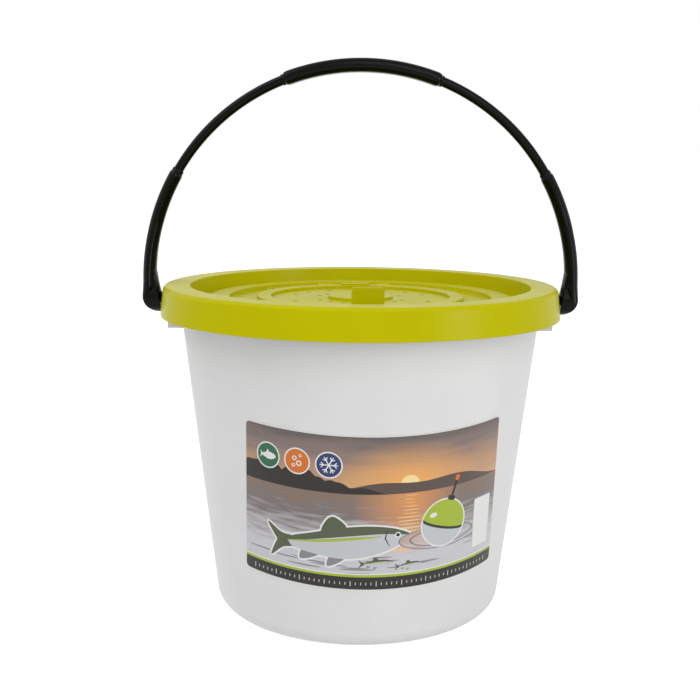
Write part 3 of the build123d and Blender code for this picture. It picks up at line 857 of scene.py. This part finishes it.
@dataclass(frozen=True)
class FishingFloat:
    """Drawing of a round float on the water, with rings round it.

    Its own sizes are in radii of its ball.

    Attributes:
        place: Middle of the ball.
        radius: Radius of the ball.
        lean: Angle that the stem leans to the right, in radians.
        water_depth: Depth of the rings' middle below the ball's.
        rings: Outer reach of each ring, and its width in metres.
        ring_squeeze: Height over width of a ring's outer and of its inner edge.
        rim: Reach of the white rim.
        front: Half width and sag of the edge between the lime and the silver half.
        front_steps: Sides of that edge.
        band: Width of the dark band under that edge.
        shine_turn: Angle that the shine is turned on the ball, in radians.
    """

    place: Point = (54 * MM, 50 * MM)
    radius: float = 19 * MM
    lean: float = 0.30
    water_depth: float = 0.55
    rings: Points = ((2.0, 1.44 * MM), (1.55, 2.08 * MM))
    ring_squeeze: Point = (0.26, 0.245)
    rim: float = 1.06
    front: Point = (0.995, 0.16)
    front_steps: int = 12
    band: float = 0.11
    shine_turn: float = 0.5

    def layers(self) -> Layers:
        """Inked outlines, the lowest first."""
        layers: Layers = []
        middle = (self.place[0], self.place[1] - self.radius * self.water_depth)
        outer_squeeze, inner_squeeze = self.ring_squeeze
        for reach, width in self.rings:
            outer = self.radius * reach
            layers.append((Ink.RIPPLE, circle(middle, outer, count=60, squeeze=outer_squeeze)))
            layers.append((Ink.WATER, circle(middle, outer - width, count=60, squeeze=inner_squeeze)))
        ball = circle((0.0, 0.0), 1.0, count=64)
        wide, sag = self.front
        turns = [math.pi * step / self.front_steps for step in range(self.front_steps, -1, -1)]
        edge = [(wide * math.cos(turn), -sag * math.sin(turn)) for turn in turns]
        shapes = (
            (Ink.WHITE, circle((0.0, 0.0), self.rim, count=64)),
            (Ink.CHARCOAL, [(-0.06, 0.7), (0.06, 0.7), (0.05, 1.95), (-0.05, 1.95)]),
            (Ink.ORANGE, rounded_box((-0.10, 1.80), (0.10, 2.06), 0.09)),
            (Ink.SILVER, ball),
            (Ink.LIME, [point for point in ball if point[1] >= -0.001] + edge[1:-1]),
            (Ink.CHARCOAL, edge + [(across, up - self.band) for across, up in reversed(edge)]),
            (Ink.CHARCOAL, rounded_box((-0.17, 0.96), (0.17, 1.16), 0.05)),
        )
        layers += [(ink, placed(shape, self.place, self.radius, -self.lean)) for ink, shape in shapes]
        shine = circle((-0.42, 0.50), 0.17, count=20, squeeze=0.62)
        layers.append((Ink.PAPER, placed(shine, self.place, self.radius, self.shine_turn - self.lean)))
        return layers


@dataclass(frozen=True)
class Gleams:
    """Thin level marks on the water, which get lower and longer from the horizon to the front.

    Attributes:
        count: Number of them.
        drop: Distance of the farthest below the horizon, and how much lower the nearest lies.
        reach: Half length of the farthest, and how much more the nearest has.
        stretch: Least and greatest multiple of that half length.
        flatness: Height of one over its length.
        sides: Number of its sides.
    """

    count: int
    drop: Point
    reach: Point
    stretch: Point
    flatness: float
    sides: int

    def mark(
        self, chance: random.Random, horizon: float, depth: float, middle: float, play: float
    ) -> Outline:
        """Outline of one of them.

        Args:
            chance: Source of its length and its place across.
            horizon: Height of the horizon.
            depth: How near it lies, from 0 for the farthest to 1 for the nearest.
            middle: Middle of the marks, across.
            play: How far it may lie to either side of that.

        Returns:
            The outline.
        """
        up = horizon - (self.drop[0] + self.drop[1] * depth)
        reach = (self.reach[0] + self.reach[1] * depth) * chance.uniform(*self.stretch)
        across = middle + chance.uniform(-play, play)
        return circle((across, up), reach, self.sides, self.flatness)


@dataclass(frozen=True)
class LabelArt:
    """Picture on the label: dusk over a lake, a minnow, a float and three pictograms.

    Places are on the flat film: across from its middle, and up from its lower edge.

    Attributes:
        half: Half of the film's width along the wall.
        height: Height of the film.
        corner: Radius of its corners.
        margin: Width of the bare rim.
        horizon: Height of the water's far edge.
        land_foot: How far the sky and the land reach down behind the water.
        skyline_steps: Steps of the hills' and the shore's upper edges.
        band: Height of the dark band along the lower edge.
        band_lines: Widths of the lime and the white line over it.
        sun: Place of the sun.
        sun_radius: Its radius.
        hill_height: Mean height of the hills over the horizon.
        hill_swells: Height, length and phase of each swell in the hills' tops.
        tree_count: Number of trees along the shore.
        tree_step: Distance between two of them.
        crown_radii: Least and greatest radius of a tree's crown.
        shore_end: Place where the shore runs out.
        shore_fade: Length over which it gets lower.
        shore_rise: Height of the shore's bank.
        glints: Glints in the sun's track.
        track_half: How far a glint's middle may lie beside the sun's.
        ripples: Ripples on the lake.
        calm_ends: Least distance of the ripples' middles from the film's ends.
        badge_row: Places of the three pictograms.
        badge_radius: Radius of a pictogram.
        badge_rim: Width of its white rim.
        badge_fish: Distance of the fish's tail from its pictogram's middle, its length, and how much
            taller it is drawn.
        bubbles: Place of each bubble of air beside its pictogram's middle, and its radius.
        bubble_hollow: Share of that radius that is hollow.
        panel: Low and high corner of the bare panel.
        panel_corner: Radius of its corners.
        panel_frame: Width of its grey frame.
        seed: Seed of the trees, and one less than that of the water.
    """

    half: float
    height: float
    corner: float
    margin: float = 0.7 * MM
    horizon: float = 79 * MM
    land_foot: float = 1 * MM
    skyline_steps: int = 90
    band: float = 11 * MM
    band_lines: Point = (2 * MM, 1 * MM)
    sun: Point = (24 * MM, 86 * MM)
    sun_radius: float = 7.5 * MM
    hill_height: float = 5.5 * MM
    hill_swells: Places = ((4.55 * MM, 31 * MM, 0.4), (1.82 * MM, 12 * MM, 2.0))
    tree_count: int = 22
    tree_step: float = 5.4 * MM
    crown_radii: Point = (4 * MM, 9.5 * MM)
    shore_end: float = 8 * MM
    shore_fade: float = 60 * MM
    shore_rise: float = 3.5 * MM
    glints: Gleams = Gleams(16, (2 * MM, 44 * MM), (5 * MM, 13 * MM), (0.6, 1.1), 0.055, 22)
    track_half: float = 2.5 * MM
    ripples: Gleams = Gleams(46, (3 * MM, 62 * MM), (3 * MM, 11 * MM), (0.7, 1.3), 0.045, 20)
    calm_ends: float = 16 * MM
    badge_row: Points = ((-88 * MM, 101 * MM), (-63 * MM, 101 * MM), (-38 * MM, 101 * MM))
    badge_radius: float = 9.5 * MM
    badge_rim: float = 1.1 * MM
    badge_fish: Place = (7.2 * MM, 14.5 * MM, 1.7)
    bubbles: Places = (
        (-2.8 * MM, -3.6 * MM, 1.5 * MM),
        (1.6 * MM, -1.6 * MM, 2.3 * MM),
        (-2.0 * MM, 2.2 * MM, 1.9 * MM),
        (2.6 * MM, 4.6 * MM, 1.3 * MM),
    )
    bubble_hollow: float = 0.55
    panel: Points = ((84 * MM, 19 * MM), (104 * MM, 62 * MM))
    panel_corner: float = 2.5 * MM
    panel_frame: float = 0.6 * MM
    seed: int = 5

    def layers(self) -> Layers:
        """Every inked outline, the lowest first. The first is the whole film."""
        layers = [(Ink.PAPER, rounded_box((-self.half, 0.0), (self.half, self.height), self.corner))]
        layers += self._landscape() + self._water() + self._stripes()
        layers += Minnow().layers(place=(-86 * MM, 33 * MM), size=112 * MM, turn=0.11, rim=1.5 * MM)
        layers += Minnow().layers(place=(-14 * MM, 22 * MM), size=27 * MM, turn=0.05)
        layers += Minnow().layers(place=(14 * MM, 19 * MM), size=22 * MM, turn=0.05)
        return layers + FishingFloat().layers() + self._badges() + self._panel()

    def _printed(self, low: float, high: float) -> Outline:
        """Printed area between two heights, inside the bare rim."""
        low, high = max(low, self.margin), min(high, self.height - self.margin)
        across = self.half - self.margin
        if low > self.margin and high < self.height - self.margin:
            return [(-across, low), (across, low), (across, high), (-across, high)]
        top = (across, self.height - self.margin)
        full = rounded_box((-across, self.margin), top, self.corner - self.margin)
        return [(x, min(max(y, low), high)) for x, y in full]

    def _skyline(self, tops: Callable[[float], float], end: float) -> Outline:
        """Outline of land from under the horizon to the height that tops gives, up to a place across."""
        edge, low, steps = self.half - self.margin, self.horizon - self.land_foot, self.skyline_steps
        end = min(end, edge)
        across = [-edge + (end + edge) * step / steps for step in range(steps + 1)]
        return [(-edge, low), (end, low)] + [(x, max(low, tops(x))) for x in reversed(across)]

    def _landscape(self) -> Layers:
        """Sky, sun, far hills and the near shore with its round trees."""
        chance = random.Random(self.seed)
        middles = [-self.half + self.tree_step * step for step in range(self.tree_count)]
        crowns = [(middle, chance.uniform(*self.crown_radii)) for middle in middles]

        def hills(across: float) -> float:
            """Height of the hills at a place."""
            swells = (high * math.sin(across / long + phase) for high, long, phase in self.hill_swells)
            return self.horizon + self.hill_height + sum(swells)

        def trees(across: float) -> float:
            """Height of the shore and its trees at a place."""
            fade = min(1.0, max(0.0, (self.shore_end - across) / self.shore_fade))
            tops = [
                math.sqrt(max(0.0, radius**2 - (across - middle) ** 2)) + radius / 2
                for middle, radius in crowns
            ]
            return self.horizon + (max(tops) + self.shore_rise) * fade

        return [
            (Ink.SKY, self._printed(self.horizon - self.land_foot, self.height)),
            (Ink.SUN, circle(self.sun, self.sun_radius, count=48)),
            (Ink.HILL, self._skyline(hills, self.half)),
            (Ink.SHORE, self._skyline(trees, self.shore_end)),
        ]

    def _water(self) -> Layers:
        """Lake with the sun's track on it, and thin ripples all over it."""
        chance = random.Random(self.seed + 1)
        layers = [(Ink.WATER, self._printed(self.band, self.horizon))]
        for step in range(self.glints.count):
            depth = step / (self.glints.count - 1)
            glint = self.glints.mark(chance, self.horizon, depth, self.sun[0], self.track_half)
            layers.append((Ink.GLINT, glint))
        for _ in range(self.ripples.count):
            depth = chance.random()
            ripple = self.ripples.mark(chance, self.horizon, depth, 0.0, self.half - self.calm_ends)
            layers.append((Ink.RIPPLE, ripple))
        return layers

    def _stripes(self) -> Layers:
        """Dark band along the lower edge, with a lime and a white line over it."""
        lime, white = self.band_lines
        levels = (0.0, self.band, self.band + lime, self.band + lime + white)
        inks = (Ink.CHARCOAL, Ink.LIME, Ink.WHITE)
        return [(ink, self._printed(low, high)) for ink, low, high in zip(inks, levels, levels[1:])]

    def _badges(self) -> Layers:
        """Three round pictograms: a fish, rising air and a snow crystal."""
        layers: Layers = []
        for place, ink in zip(self.badge_row, (Ink.GREEN, Ink.ORANGE, Ink.NAVY)):
            layers.append((Ink.WHITE, circle(place, self.badge_radius + self.badge_rim, count=48)))
            layers.append((ink, circle(place, self.badge_radius, count=48)))
        fish, air, cold = self.badge_row
        tail_end, length, taller = self.badge_fish
        tail, dorsal, *_, body = (shape for _, shape in Minnow().silhouette())
        for shape in (body, tail, dorsal):
            drawn = [(x, y * taller) for x, y in shape]
            layers.append((Ink.WHITE, placed(drawn, (fish[0] - tail_end, fish[1]), length)))
        for across, up, radius in self.bubbles:
            centre = (air[0] + across, air[1] + up)
            layers.append((Ink.WHITE, circle(centre, radius, count=20)))
            layers.append((Ink.ORANGE, circle(centre, radius * self.bubble_hollow, count=20)))
        arm = [(0.0, -0.5), (7.0, -0.4), (7.0, 0.4), (0.0, 0.5)]
        twigs = [ribbon(((4.0, 0.0, 0.8), (6.0, side, 0.8))) for side in (-2.0, 2.0)]
        for spoke in range(6):
            turn = spoke * math.pi / 3
            layers += [(Ink.WHITE, placed(shape, cold, MM, turn)) for shape in (arm, *twigs)]
        return layers

    def _panel(self) -> Layers:
        """Bare pale panel for a shop's own sticker, with a thin grey frame."""
        frame = rounded_box(*self.panel, self.panel_corner)
        return [(Ink.SILVER, frame), (Ink.WHITE, grown(frame, -self.panel_frame))]


@dataclass
class Label:
    """Printed film on the front of the pail.

    Attributes:
        half_width: Half of its width, seen from the front.
        height: Its height.
        bottom: Height of its lower edge's middle.
        sag: How far its edges' ends stand above their middles.
        corner: Radius of its corners.
        thickness: Thickness of the film.
        gap: Gap between the film and the wall.
        turn: Angle that its middle stands to the right of the front, in degrees.
        base_radius: Radius of the pail's wall at the floor.
        wall_slope: How much that radius grows for each unit of height.
        mesh_step: Side of the film's facets.
        sharp_angle: Angle between faces past which an edge stays sharp, in degrees.
        tick_step: Distance between the ticks on the dark band.
        tick_size: Width and height of a short tick.
        tick_up: Height of the ticks' middle on the label.
        tick_margin: Least distance of the last ticks from the label's ends.
        tick_lift: How far the ticks' ink stands proud of the film.
        tall_every: Number of ticks from one tall tick to the next.
        tall_stretch: Height of a tall tick as a multiple of a short one's.
        mean_radius: Radius of the wall behind the label's middle.
        art: The picture.
    """

    half_width: float = 98.5 * MM
    height: float = 125.1 * MM
    bottom: float = 51.4 * MM
    sag: float = 6 * MM
    corner: float = 4 * MM
    thickness: float = 0.3 * MM
    gap: float = 0.1 * MM
    turn: float = 6.0
    base_radius: float = 121.5 * MM
    wall_slope: float = 0.11687
    mesh_step: float = 3.2 * MM
    sharp_angle: float = 40.0
    tick_step: float = 4 * MM
    tick_size: Point = (0.6 * MM, 2.2 * MM)
    tick_up: float = 5.5 * MM
    tick_margin: float = 8 * MM
    tick_lift: float = 0.04 * MM
    tall_every: int = 5
    tall_stretch: float = 1.9
    mean_radius: float = field(init=False)
    art: LabelArt = field(init=False)

    def __post_init__(self) -> None:
        """Work out the film's radius, and the picture's width along the wall."""
        self.mean_radius = self.base_radius + self.wall_slope * (self.bottom + self.height / 2)
        flat_half = self.mean_radius * math.asin(self.half_width / self.mean_radius)
        self.art = LabelArt(flat_half, self.height, self.corner)

    def on_wall(self, across: float, up: float, lift: float) -> Vector:
        """Place on the wall of a point of the flat film.

        Args:
            across: Distance from the film's middle, along the wall.
            up: Height over the film's lower edge.
            lift: Distance in front of the wall.

        Returns:
            The place in space.
        """
        front = self.mean_radius * math.sin(across / self.mean_radius)
        edge_radius = (self.half_width**2 + self.sag**2) / (2 * self.sag)
        height = self.bottom + up + edge_radius - math.sqrt(edge_radius**2 - front**2)
        wall = self.base_radius + self.wall_slope * height
        angle = math.asin(front / wall) + math.radians(self.turn)
        return Vector(((wall + lift) * math.sin(angle), -(wall + lift) * math.cos(angle), height))

    def flat_mesh(self, layers: Layers) -> tuple[list[Vector], list[list[int]], list[list[int]]]:
        """Cut the flat film along every inked outline, in millimetres.

        Args:
            layers: The inked outlines.

        Returns:
            Points, cells, and for each cell the numbers of the layers that hold it.
        """
        points: list[Vector] = []
        faces: list[list[int]] = []
        for _, outline in layers:
            loop = divided(outline, self.mesh_step)
            if doubled_area(loop) < 0:
                loop = loop[::-1]
            faces.append(list(range(len(points), len(points) + len(loop))))
            points += [Vector(point) / MM for point in loop]
        half = self.art.half
        columns, rows = int(2 * half / self.mesh_step), int(self.height / self.mesh_step)
        for column in range(1, columns):
            for row in range(1, rows):
                across = -half + 2 * half * column / columns
                points.append(Vector((across, self.height * row / rows)) / MM)
        cut = delaunay_2d_cdt(points, [], faces, INSIDE_OUTLINES, CUT_TOLERANCE)
        flat, _, cells, _, _, owners = cut
        return flat, cells, owners

    def build_film(self) -> Piece:
        """Make the film, with each inked shape cut into its front."""
        layers, inks = self.art.layers(), list(Ink)
        flat, cells, owners = self.flat_mesh(layers)
        bm = bmesh.new()
        flat_map = bm.loops.layers.uv.new(LABEL_MAP)
        front, back = (
            [bm.verts.new(self.on_wall(p.x * MM, p.y * MM, lift)) for p in flat]
            for lift in (self.gap + self.thickness, self.gap)
        )
        behind = dict(zip(front, back))
        for cell, owned in zip(cells, owners):
            if 0 not in owned:
                continue
            shown = bm.faces.new([front[index] for index in cell])
            shown.material_index = inks.index(layers[max(owned)][0])
            bm.faces.new([back[index] for index in reversed(cell)])
            for loop, index in zip(shown.loops, cell):
                loop[flat_map].uv = flat[index] * MM
        rim = [edge.link_loops[0] for edge in bm.edges if edge.is_boundary and edge.verts[0] in behind]
        for loop in rim:
            start, end = loop.vert, loop.link_loop_next.vert
            bm.faces.new([end, start, behind[start], behind[end]])
        bmesh.ops.delete(bm, geom=[v for v in bm.verts if not v.link_faces], context="VERTS")
        film = smooth_piece(bm, "label_film", self.sharp_angle)
        for ink in Ink:
            film.data.materials.append(self.finish(ink).build())
        return film

    def finish(self, ink: Ink) -> PrintedFilm:
        """Finish of an ink: a blend for the sky and the water, and one colour for the rest."""
        horizon, (across, up) = self.art.horizon, self.art.sun
        if ink is Ink.SKY:
            return PrintedFilm(
                ink,
                ("#D8AC82", "#BC9678", "#8E7C75", "#6A6260"),
                low=horizon,
                high=self.height,
                glow="#FFB765",
                glow_place=(across, up),
                glow_reach=(62 * MM, 36 * MM),
                glow_strength=0.95,
                wave=0.10,
                wave_length=60 * MM,
            )
        if ink is Ink.WATER:
            return PrintedFilm(
                ink,
                ("#CFCFD3", "#D2D1D6", "#B5B0B3", "#807877", "#8C7667"),
                low=self.art.band,
                high=horizon,
                glow="#F2A460",
                glow_place=(across, 2 * horizon - up),
                glow_reach=(44 * MM, 46 * MM),
                glow_strength=0.85,
                wave=0.16,
            )
        return PrintedFilm(ink, (PLAIN_INKS[ink],))

    def ticks_rule(self) -> RuledShape:
        """Rule that makes a straight row of ticks, every few of them a tall one."""
        counts = dict.fromkeys(("Ticks", "Tall every"), "Int")
        sizes = ("Spacing", "Tick width", "Tick height", "Ink thickness", "Tall stretch")
        inputs = {**counts, **dict.fromkeys(sizes, "Float"), "Material": "Material"}
        rule = RuledShape("row_of_ticks", inputs)
        tree, given = rule.tree, rule.given
        step = add_node(tree, "ShaderNodeCombineXYZ", {"X": given["Spacing"]}).outputs[0]
        row = add_node(tree, "GeometryNodeMeshLine", {"Count": given["Ticks"], "Offset": step}, mode="OFFSET")
        sides = {"X": given["Tick width"], "Y": given["Ink thickness"], "Z": given["Tick height"]}
        size = add_node(tree, "ShaderNodeCombineXYZ", sides).outputs[0]
        tick = add_node(tree, "GeometryNodeMeshCube", {"Size": size}).outputs["Mesh"]
        number = add_node(tree, "GeometryNodeInputIndex").outputs["Index"]
        count = {0: number, 1: given["Tall every"]}
        left = add_node(tree, "FunctionNodeIntegerMath", count, operation="MODULO").outputs[0]
        tall = add_node(tree, "FunctionNodeCompare", {"A": left, "B": 0}, data_type="INT", operation="EQUAL")
        higher = add_node(tree, "ShaderNodeCombineXYZ", {"X": 1.0, "Y": 1.0, "Z": given["Tall stretch"]})
        choice = {"Switch": tall.outputs[0], "False": (1.0, 1.0, 1.0), "True": higher.outputs[0]}
        scale = add_node(tree, "GeometryNodeSwitch", choice, input_type="VECTOR").outputs[0]
        copies = {"Points": row.outputs["Mesh"], "Instance": tick, "Scale": scale}
        rule.end(add_node(tree, "GeometryNodeInstanceOnPoints", copies).outputs[0])
        return rule

    def build_ticks(self) -> Piece:
        """Make the row of ticks on the dark band, and lay it on the film."""
        count = 1 + 2 * int((self.art.half - self.tick_margin) / self.tick_step)
        values = {
            "Ticks": count,
            "Tall every": self.tall_every,
            "Tall stretch": self.tall_stretch,
            "Spacing": self.tick_step,
            "Tick width": self.tick_size[0],
            "Tick height": self.tick_size[1],
            "Ink thickness": self.tick_lift,
            "Material": PrintedFilm(Ink.WHITE, ("#D8D8D4",)).build(),
        }
        ticks = self.ticks_rule().make("label_ticks", values)
        middle = self.gap + self.thickness + self.tick_lift / 2
        first = -self.tick_step * (count - 1) / 2
        flat_map = ticks.data.uv_layers.new(name=LABEL_MAP)
        for loop in ticks.data.loops:
            corner = ticks.data.vertices[loop.vertex_index].co
            flat_map.data[loop.index].uv = (first + corner.x, self.tick_up + corner.z)
        for vertex in ticks.data.vertices:
            place = vertex.co
            vertex.co = self.on_wall(first + place.x, self.tick_up + place.z, middle - place.y)
        return ticks

    def build(self) -> None:
        """Make the label and its ticks."""
        mount(self.build_film(), "pail", Slot.FILM, "label")
        mount(self.build_ticks(), "pail", Slot.FILM)


@dataclass(frozen=True)
class Bar:
    """Stretch of the bail that one section is swept along.

    Attributes:
        start: Angle where it starts, up from +X about the bail's centre, in degrees.
        end: Angle where it ends.
        across: Size of the section along Y.
        deep: Size of the section away from the bail's centre.
        corner: Radius of the section's corners.
        end_rounding: Length over which each end rounds off, above 0 because the rule divides by it.
        end_scale: Scale of the section at the very end.
    """

    start: float
    end: float
    across: float
    deep: float
    corner: float
    end_rounding: float = 0.01 * MM
    end_scale: float = 1.0


@dataclass
class Bail:
    """Black bail: a thin rod, a grip at its top and a leg at each end.

    Attributes:
        finish: Material of all its pieces.
        radius: Radius of its arc.
        centre_height: Height of the arc's centre.
        rod: The thin rod, from inside one leg to inside the other.
        grip: The thick grip.
        grip_collar: The rounded sleeve that shows at each end of the grip.
        arc_points: Points of the arc, before they are spaced evenly.
        corner_points: Points of each of a section's corners.
        end_spacing: Distance between the rings of a bar with rounded ends.
        plain_spacing: Distance between the rings of a bar without them.
        sharp_angle: Angle between faces past which an edge stays sharp, in degrees.
        leg_voxel: Side of the voxels that round the legs' edges.
        leg_passes: Smoothing passes over them.
        leg_easing: Share of the way to its neighbours' middle that a pass moves a corner.
        leg_bulge: Share by which a leg's section is thinner at its front and back than at its middle.
        leg_half: Half of a leg's breadth from front to back.
        foot_half: The same at the pivot.
        pivot_height: Height of the pivot.
        taper_top: Height at which the foot has narrowed to the leg.
    """

    finish: Material
    radius: float = 178.75 * MM
    centre_height: float = 276.5 * MM
    rod: Bar = Bar(22.7, 157.3, 8.1 * MM, 8.1 * MM, 4.04 * MM)
    grip: Bar = Bar(68.6, 111.4, 17 * MM, 11.4 * MM, 5.6 * MM, 5.0 * MM, 0.46)
    grip_collar: Bar = Bar(68.1, 111.9, 9.4 * MM, 9.4 * MM, 4.69 * MM, 1.6 * MM, 0.86)
    arc_points: int = 256
    corner_points: int = 7
    end_spacing: float = 0.3 * MM
    plain_spacing: float = 2.4 * MM
    sharp_angle: float = 38.0
    leg_voxel: float = 0.36 * MM
    leg_passes: int = 34
    leg_easing: float = 0.5
    leg_bulge: float = 0.45
    leg_half: float = 7.5 * MM
    foot_half: float = 13 * MM
    pivot_height: float = 262 * MM
    taper_top: float = 325.8 * MM

    def sweep_rule(self) -> RuledShape:
        """Rule that sweeps a rounded section along an arc and rounds its ends."""
        arcs = ("Bend radius", "Centre height", "Start", "Sweep", "Spacing")
        sections = ("Across", "Deep", "Corner", "End rounding", "End scale")
        inputs = {**dict.fromkeys(arcs + sections, "Float"), "Material": "Material"}
        rule = RuledShape("swept_bar", inputs)
        tree, given = rule.tree, rule.given
        bend = {"Resolution": self.arc_points, "Radius": given["Bend radius"]}
        bend |= {"Start Angle": given["Start"], "Sweep Angle": given["Sweep"]}
        arc = add_node(tree, "GeometryNodeCurveArc", bend, mode="RADIUS").outputs["Curve"]
        spaced = {"Curve": arc, "Length": given["Spacing"]}
        path = add_node(tree, "GeometryNodeResampleCurve", spaced, mode="LENGTH").outputs[0]
        upright = add_node(tree, "GeometryNodeSetCurveNormal", {"Curve": path}, mode="Z_UP").outputs[0]
        sides = {"Width": given["Deep"], "Height": given["Across"]}
        box = add_node(tree, "GeometryNodeCurvePrimitiveQuadrilateral", sides, mode="RECTANGLE").outputs[0]
        corners = {"Curve": box, "Count": self.corner_points, "Radius": given["Corner"]}
        section = add_node(tree, "GeometryNodeFilletCurve", corners, mode="POLY").outputs[0]
        along = add_node(tree, "GeometryNodeSplineParameter").outputs["Length"]
        whole = add_node(tree, "GeometryNodeSplineLength").outputs["Length"]

        def worked(operation: str, *values: Any, **settings: Any) -> Socket:
            """Result of a sum with sockets and numbers."""
            inputs = dict(enumerate(values))
            return add_node(tree, "ShaderNodeMath", inputs, operation=operation, **settings).outputs[0]

        to_end = worked("MINIMUM", along, worked("SUBTRACT", whole, along))
        left = worked("SUBTRACT", 1.0, worked("DIVIDE", to_end, given["End rounding"], use_clamp=True))
        round_off = worked("SQRT", worked("SUBTRACT", 1.0, worked("MULTIPLY", left, left)))
        reach = {"Value": round_off, "To Min": given["End scale"]}
        scale = add_node(tree, "ShaderNodeMapRange", reach).outputs["Result"]
        sweep = {"Curve": upright, "Profile Curve": section, "Scale": scale, "Fill Caps": True}
        swept = add_node(tree, "GeometryNodeCurveToMesh", sweep).outputs["Mesh"]
        lift = add_node(tree, "ShaderNodeCombineXYZ", {"Z": given["Centre height"]}).outputs[0]
        stand = {"Geometry": swept, "Translation": lift, "Rotation": (math.pi / 2, 0.0, 0.0)}
        rule.end(add_node(tree, "GeometryNodeTransform", stand).outputs[0])
        return rule

    def sweep(self, rule: RuledShape, name: str, *bars: Bar) -> Piece:
        """Sweep bars and join them to one piece.

        Args:
            rule: Rule that sweeps them.
            name: Name of the piece.
            *bars: The bars.

        Returns:
            The piece.
        """
        bm = bmesh.new()
        for bar in bars:
            values = {
                "Bend radius": self.radius,
                "Centre height": self.centre_height,
                "Start": math.radians(bar.start),
                "Sweep": math.radians(bar.end - bar.start),
                "Across": bar.across,
                "Deep": bar.deep,
                "Corner": bar.corner,
                "End rounding": bar.end_rounding,
                "End scale": bar.end_scale,
                "Spacing": self.end_spacing if bar.end_scale < 1 else self.plain_spacing,
                "Material": self.finish,
            }
            swept = rule.make(name, values)
            bm.from_mesh(swept.data)
            bpy.data.objects.remove(swept)
        bmesh.ops.remove_doubles(bm, verts=bm.verts, dist=WELD)
        bmesh.ops.recalc_face_normals(bm, faces=bm.faces)
        piece = smooth_piece(bm, name, self.sharp_angle)
        piece.data.materials.append(self.finish)
        return piece

    def round_leg(self, node: Piece, name: str) -> Piece:
        """Copy a leg with its edges rounded as the mould rounds them.

        Args:
            node: The leg's CAD node.
            name: Name of the copy.

        Returns:
            The copy.
        """
        bm = bmesh.new()
        bm.from_mesh(node.data)
        bmesh.ops.remove_doubles(bm, verts=bm.verts, dist=WELD)
        leg = object_from(bm, name)
        remesh = leg.modifiers.new("voxels", "REMESH")
        remesh.mode = "VOXEL"
        remesh.voxel_size = self.leg_voxel
        smooth = leg.modifiers.new("rounding", "SMOOTH")
        smooth.factor = self.leg_easing
        smooth.iterations = self.leg_passes
        bake_modifiers(leg)
        self.bulge(leg.data)
        leg.data.shade_smooth()
        leg.data.materials.clear()
        leg.data.materials.append(self.finish)
        return leg

    def bulge(self, mesh: bpy.types.Mesh) -> None:
        """Round the sides of a leg, so that no flat side shows a bright edge.

        Args:
            mesh: The leg's mesh, which is changed.
        """
        for vertex in mesh.vertices:
            place = vertex.co
            taper = (self.taper_top - place.z) / (self.taper_top - self.pivot_height)
            half = self.leg_half + min(max(taper, 0.0), 1.0) * (self.foot_half - self.leg_half)
            above = min(max((place.z - self.pivot_height) / self.foot_half, 0.0), 1.0)
            thinner = 1 - self.leg_bulge * above * min(abs(place.y) / half, 1.0) ** 2
            rise = max(place.z - self.centre_height, 0.0)
            middle = math.copysign(math.sqrt(self.radius**2 - rise**2), place.x)
            place.x = middle + (place.x - middle) * thinner

    def build(self, nodes: dict[str, Piece]) -> None:
        """Make the bail's pieces.

        Args:
            nodes: CAD nodes by name.
        """
        rule = self.sweep_rule()
        mount(self.sweep(rule, "bail_rod_swept", self.rod), "bail", Slot.BLACK, "bail_rod")
        grip = self.sweep(rule, "hand_grip_swept", self.grip, self.grip_collar)
        mount(grip, "bail", Slot.BLACK, "hand_grip")
        for node in ("bail_leg_left", "bail_leg_right"):
            mount(self.round_leg(nodes[node], f"{node}_rounded"), "bail", Slot.BLACK, node)


def main() -> None:
    """Build the bucket round its frame."""
    logging.basicConfig(level=logging.INFO, format="%(name)s: %(message)s")
    bpy.context.scene.view_settings.view_transform = "Standard"
    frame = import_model()
    PhotoCamera().build()
    Studio().build()
    finishes = {
        Slot.WHITE.value: MouldedPlastic("white_polypropylene", "#E9E9E9", 0.45, gloss=0.14).build(),
        Slot.LIME.value: MouldedPlastic("lime_polypropylene", "#C4BF00", 0.32, gloss=0.05).build(),
        Slot.BLACK.value: MouldedPlastic("black_polypropylene", "#060605", 0.2, gloss=0.1).build(),
        Slot.FOAM.value: BeadFoam().build(),
    }
    for row in frame["record"]["subparts"]:
        if row["material_slot"] in finishes:
            dress(frame["nodes"][row["node"]], finishes[row["material_slot"]])
            LOG.info("dressed %s", row["node"])
    Label().build()
    Bail(finishes[Slot.BLACK.value]).build(frame["nodes"])


if __name__ == "__main__":
    main()
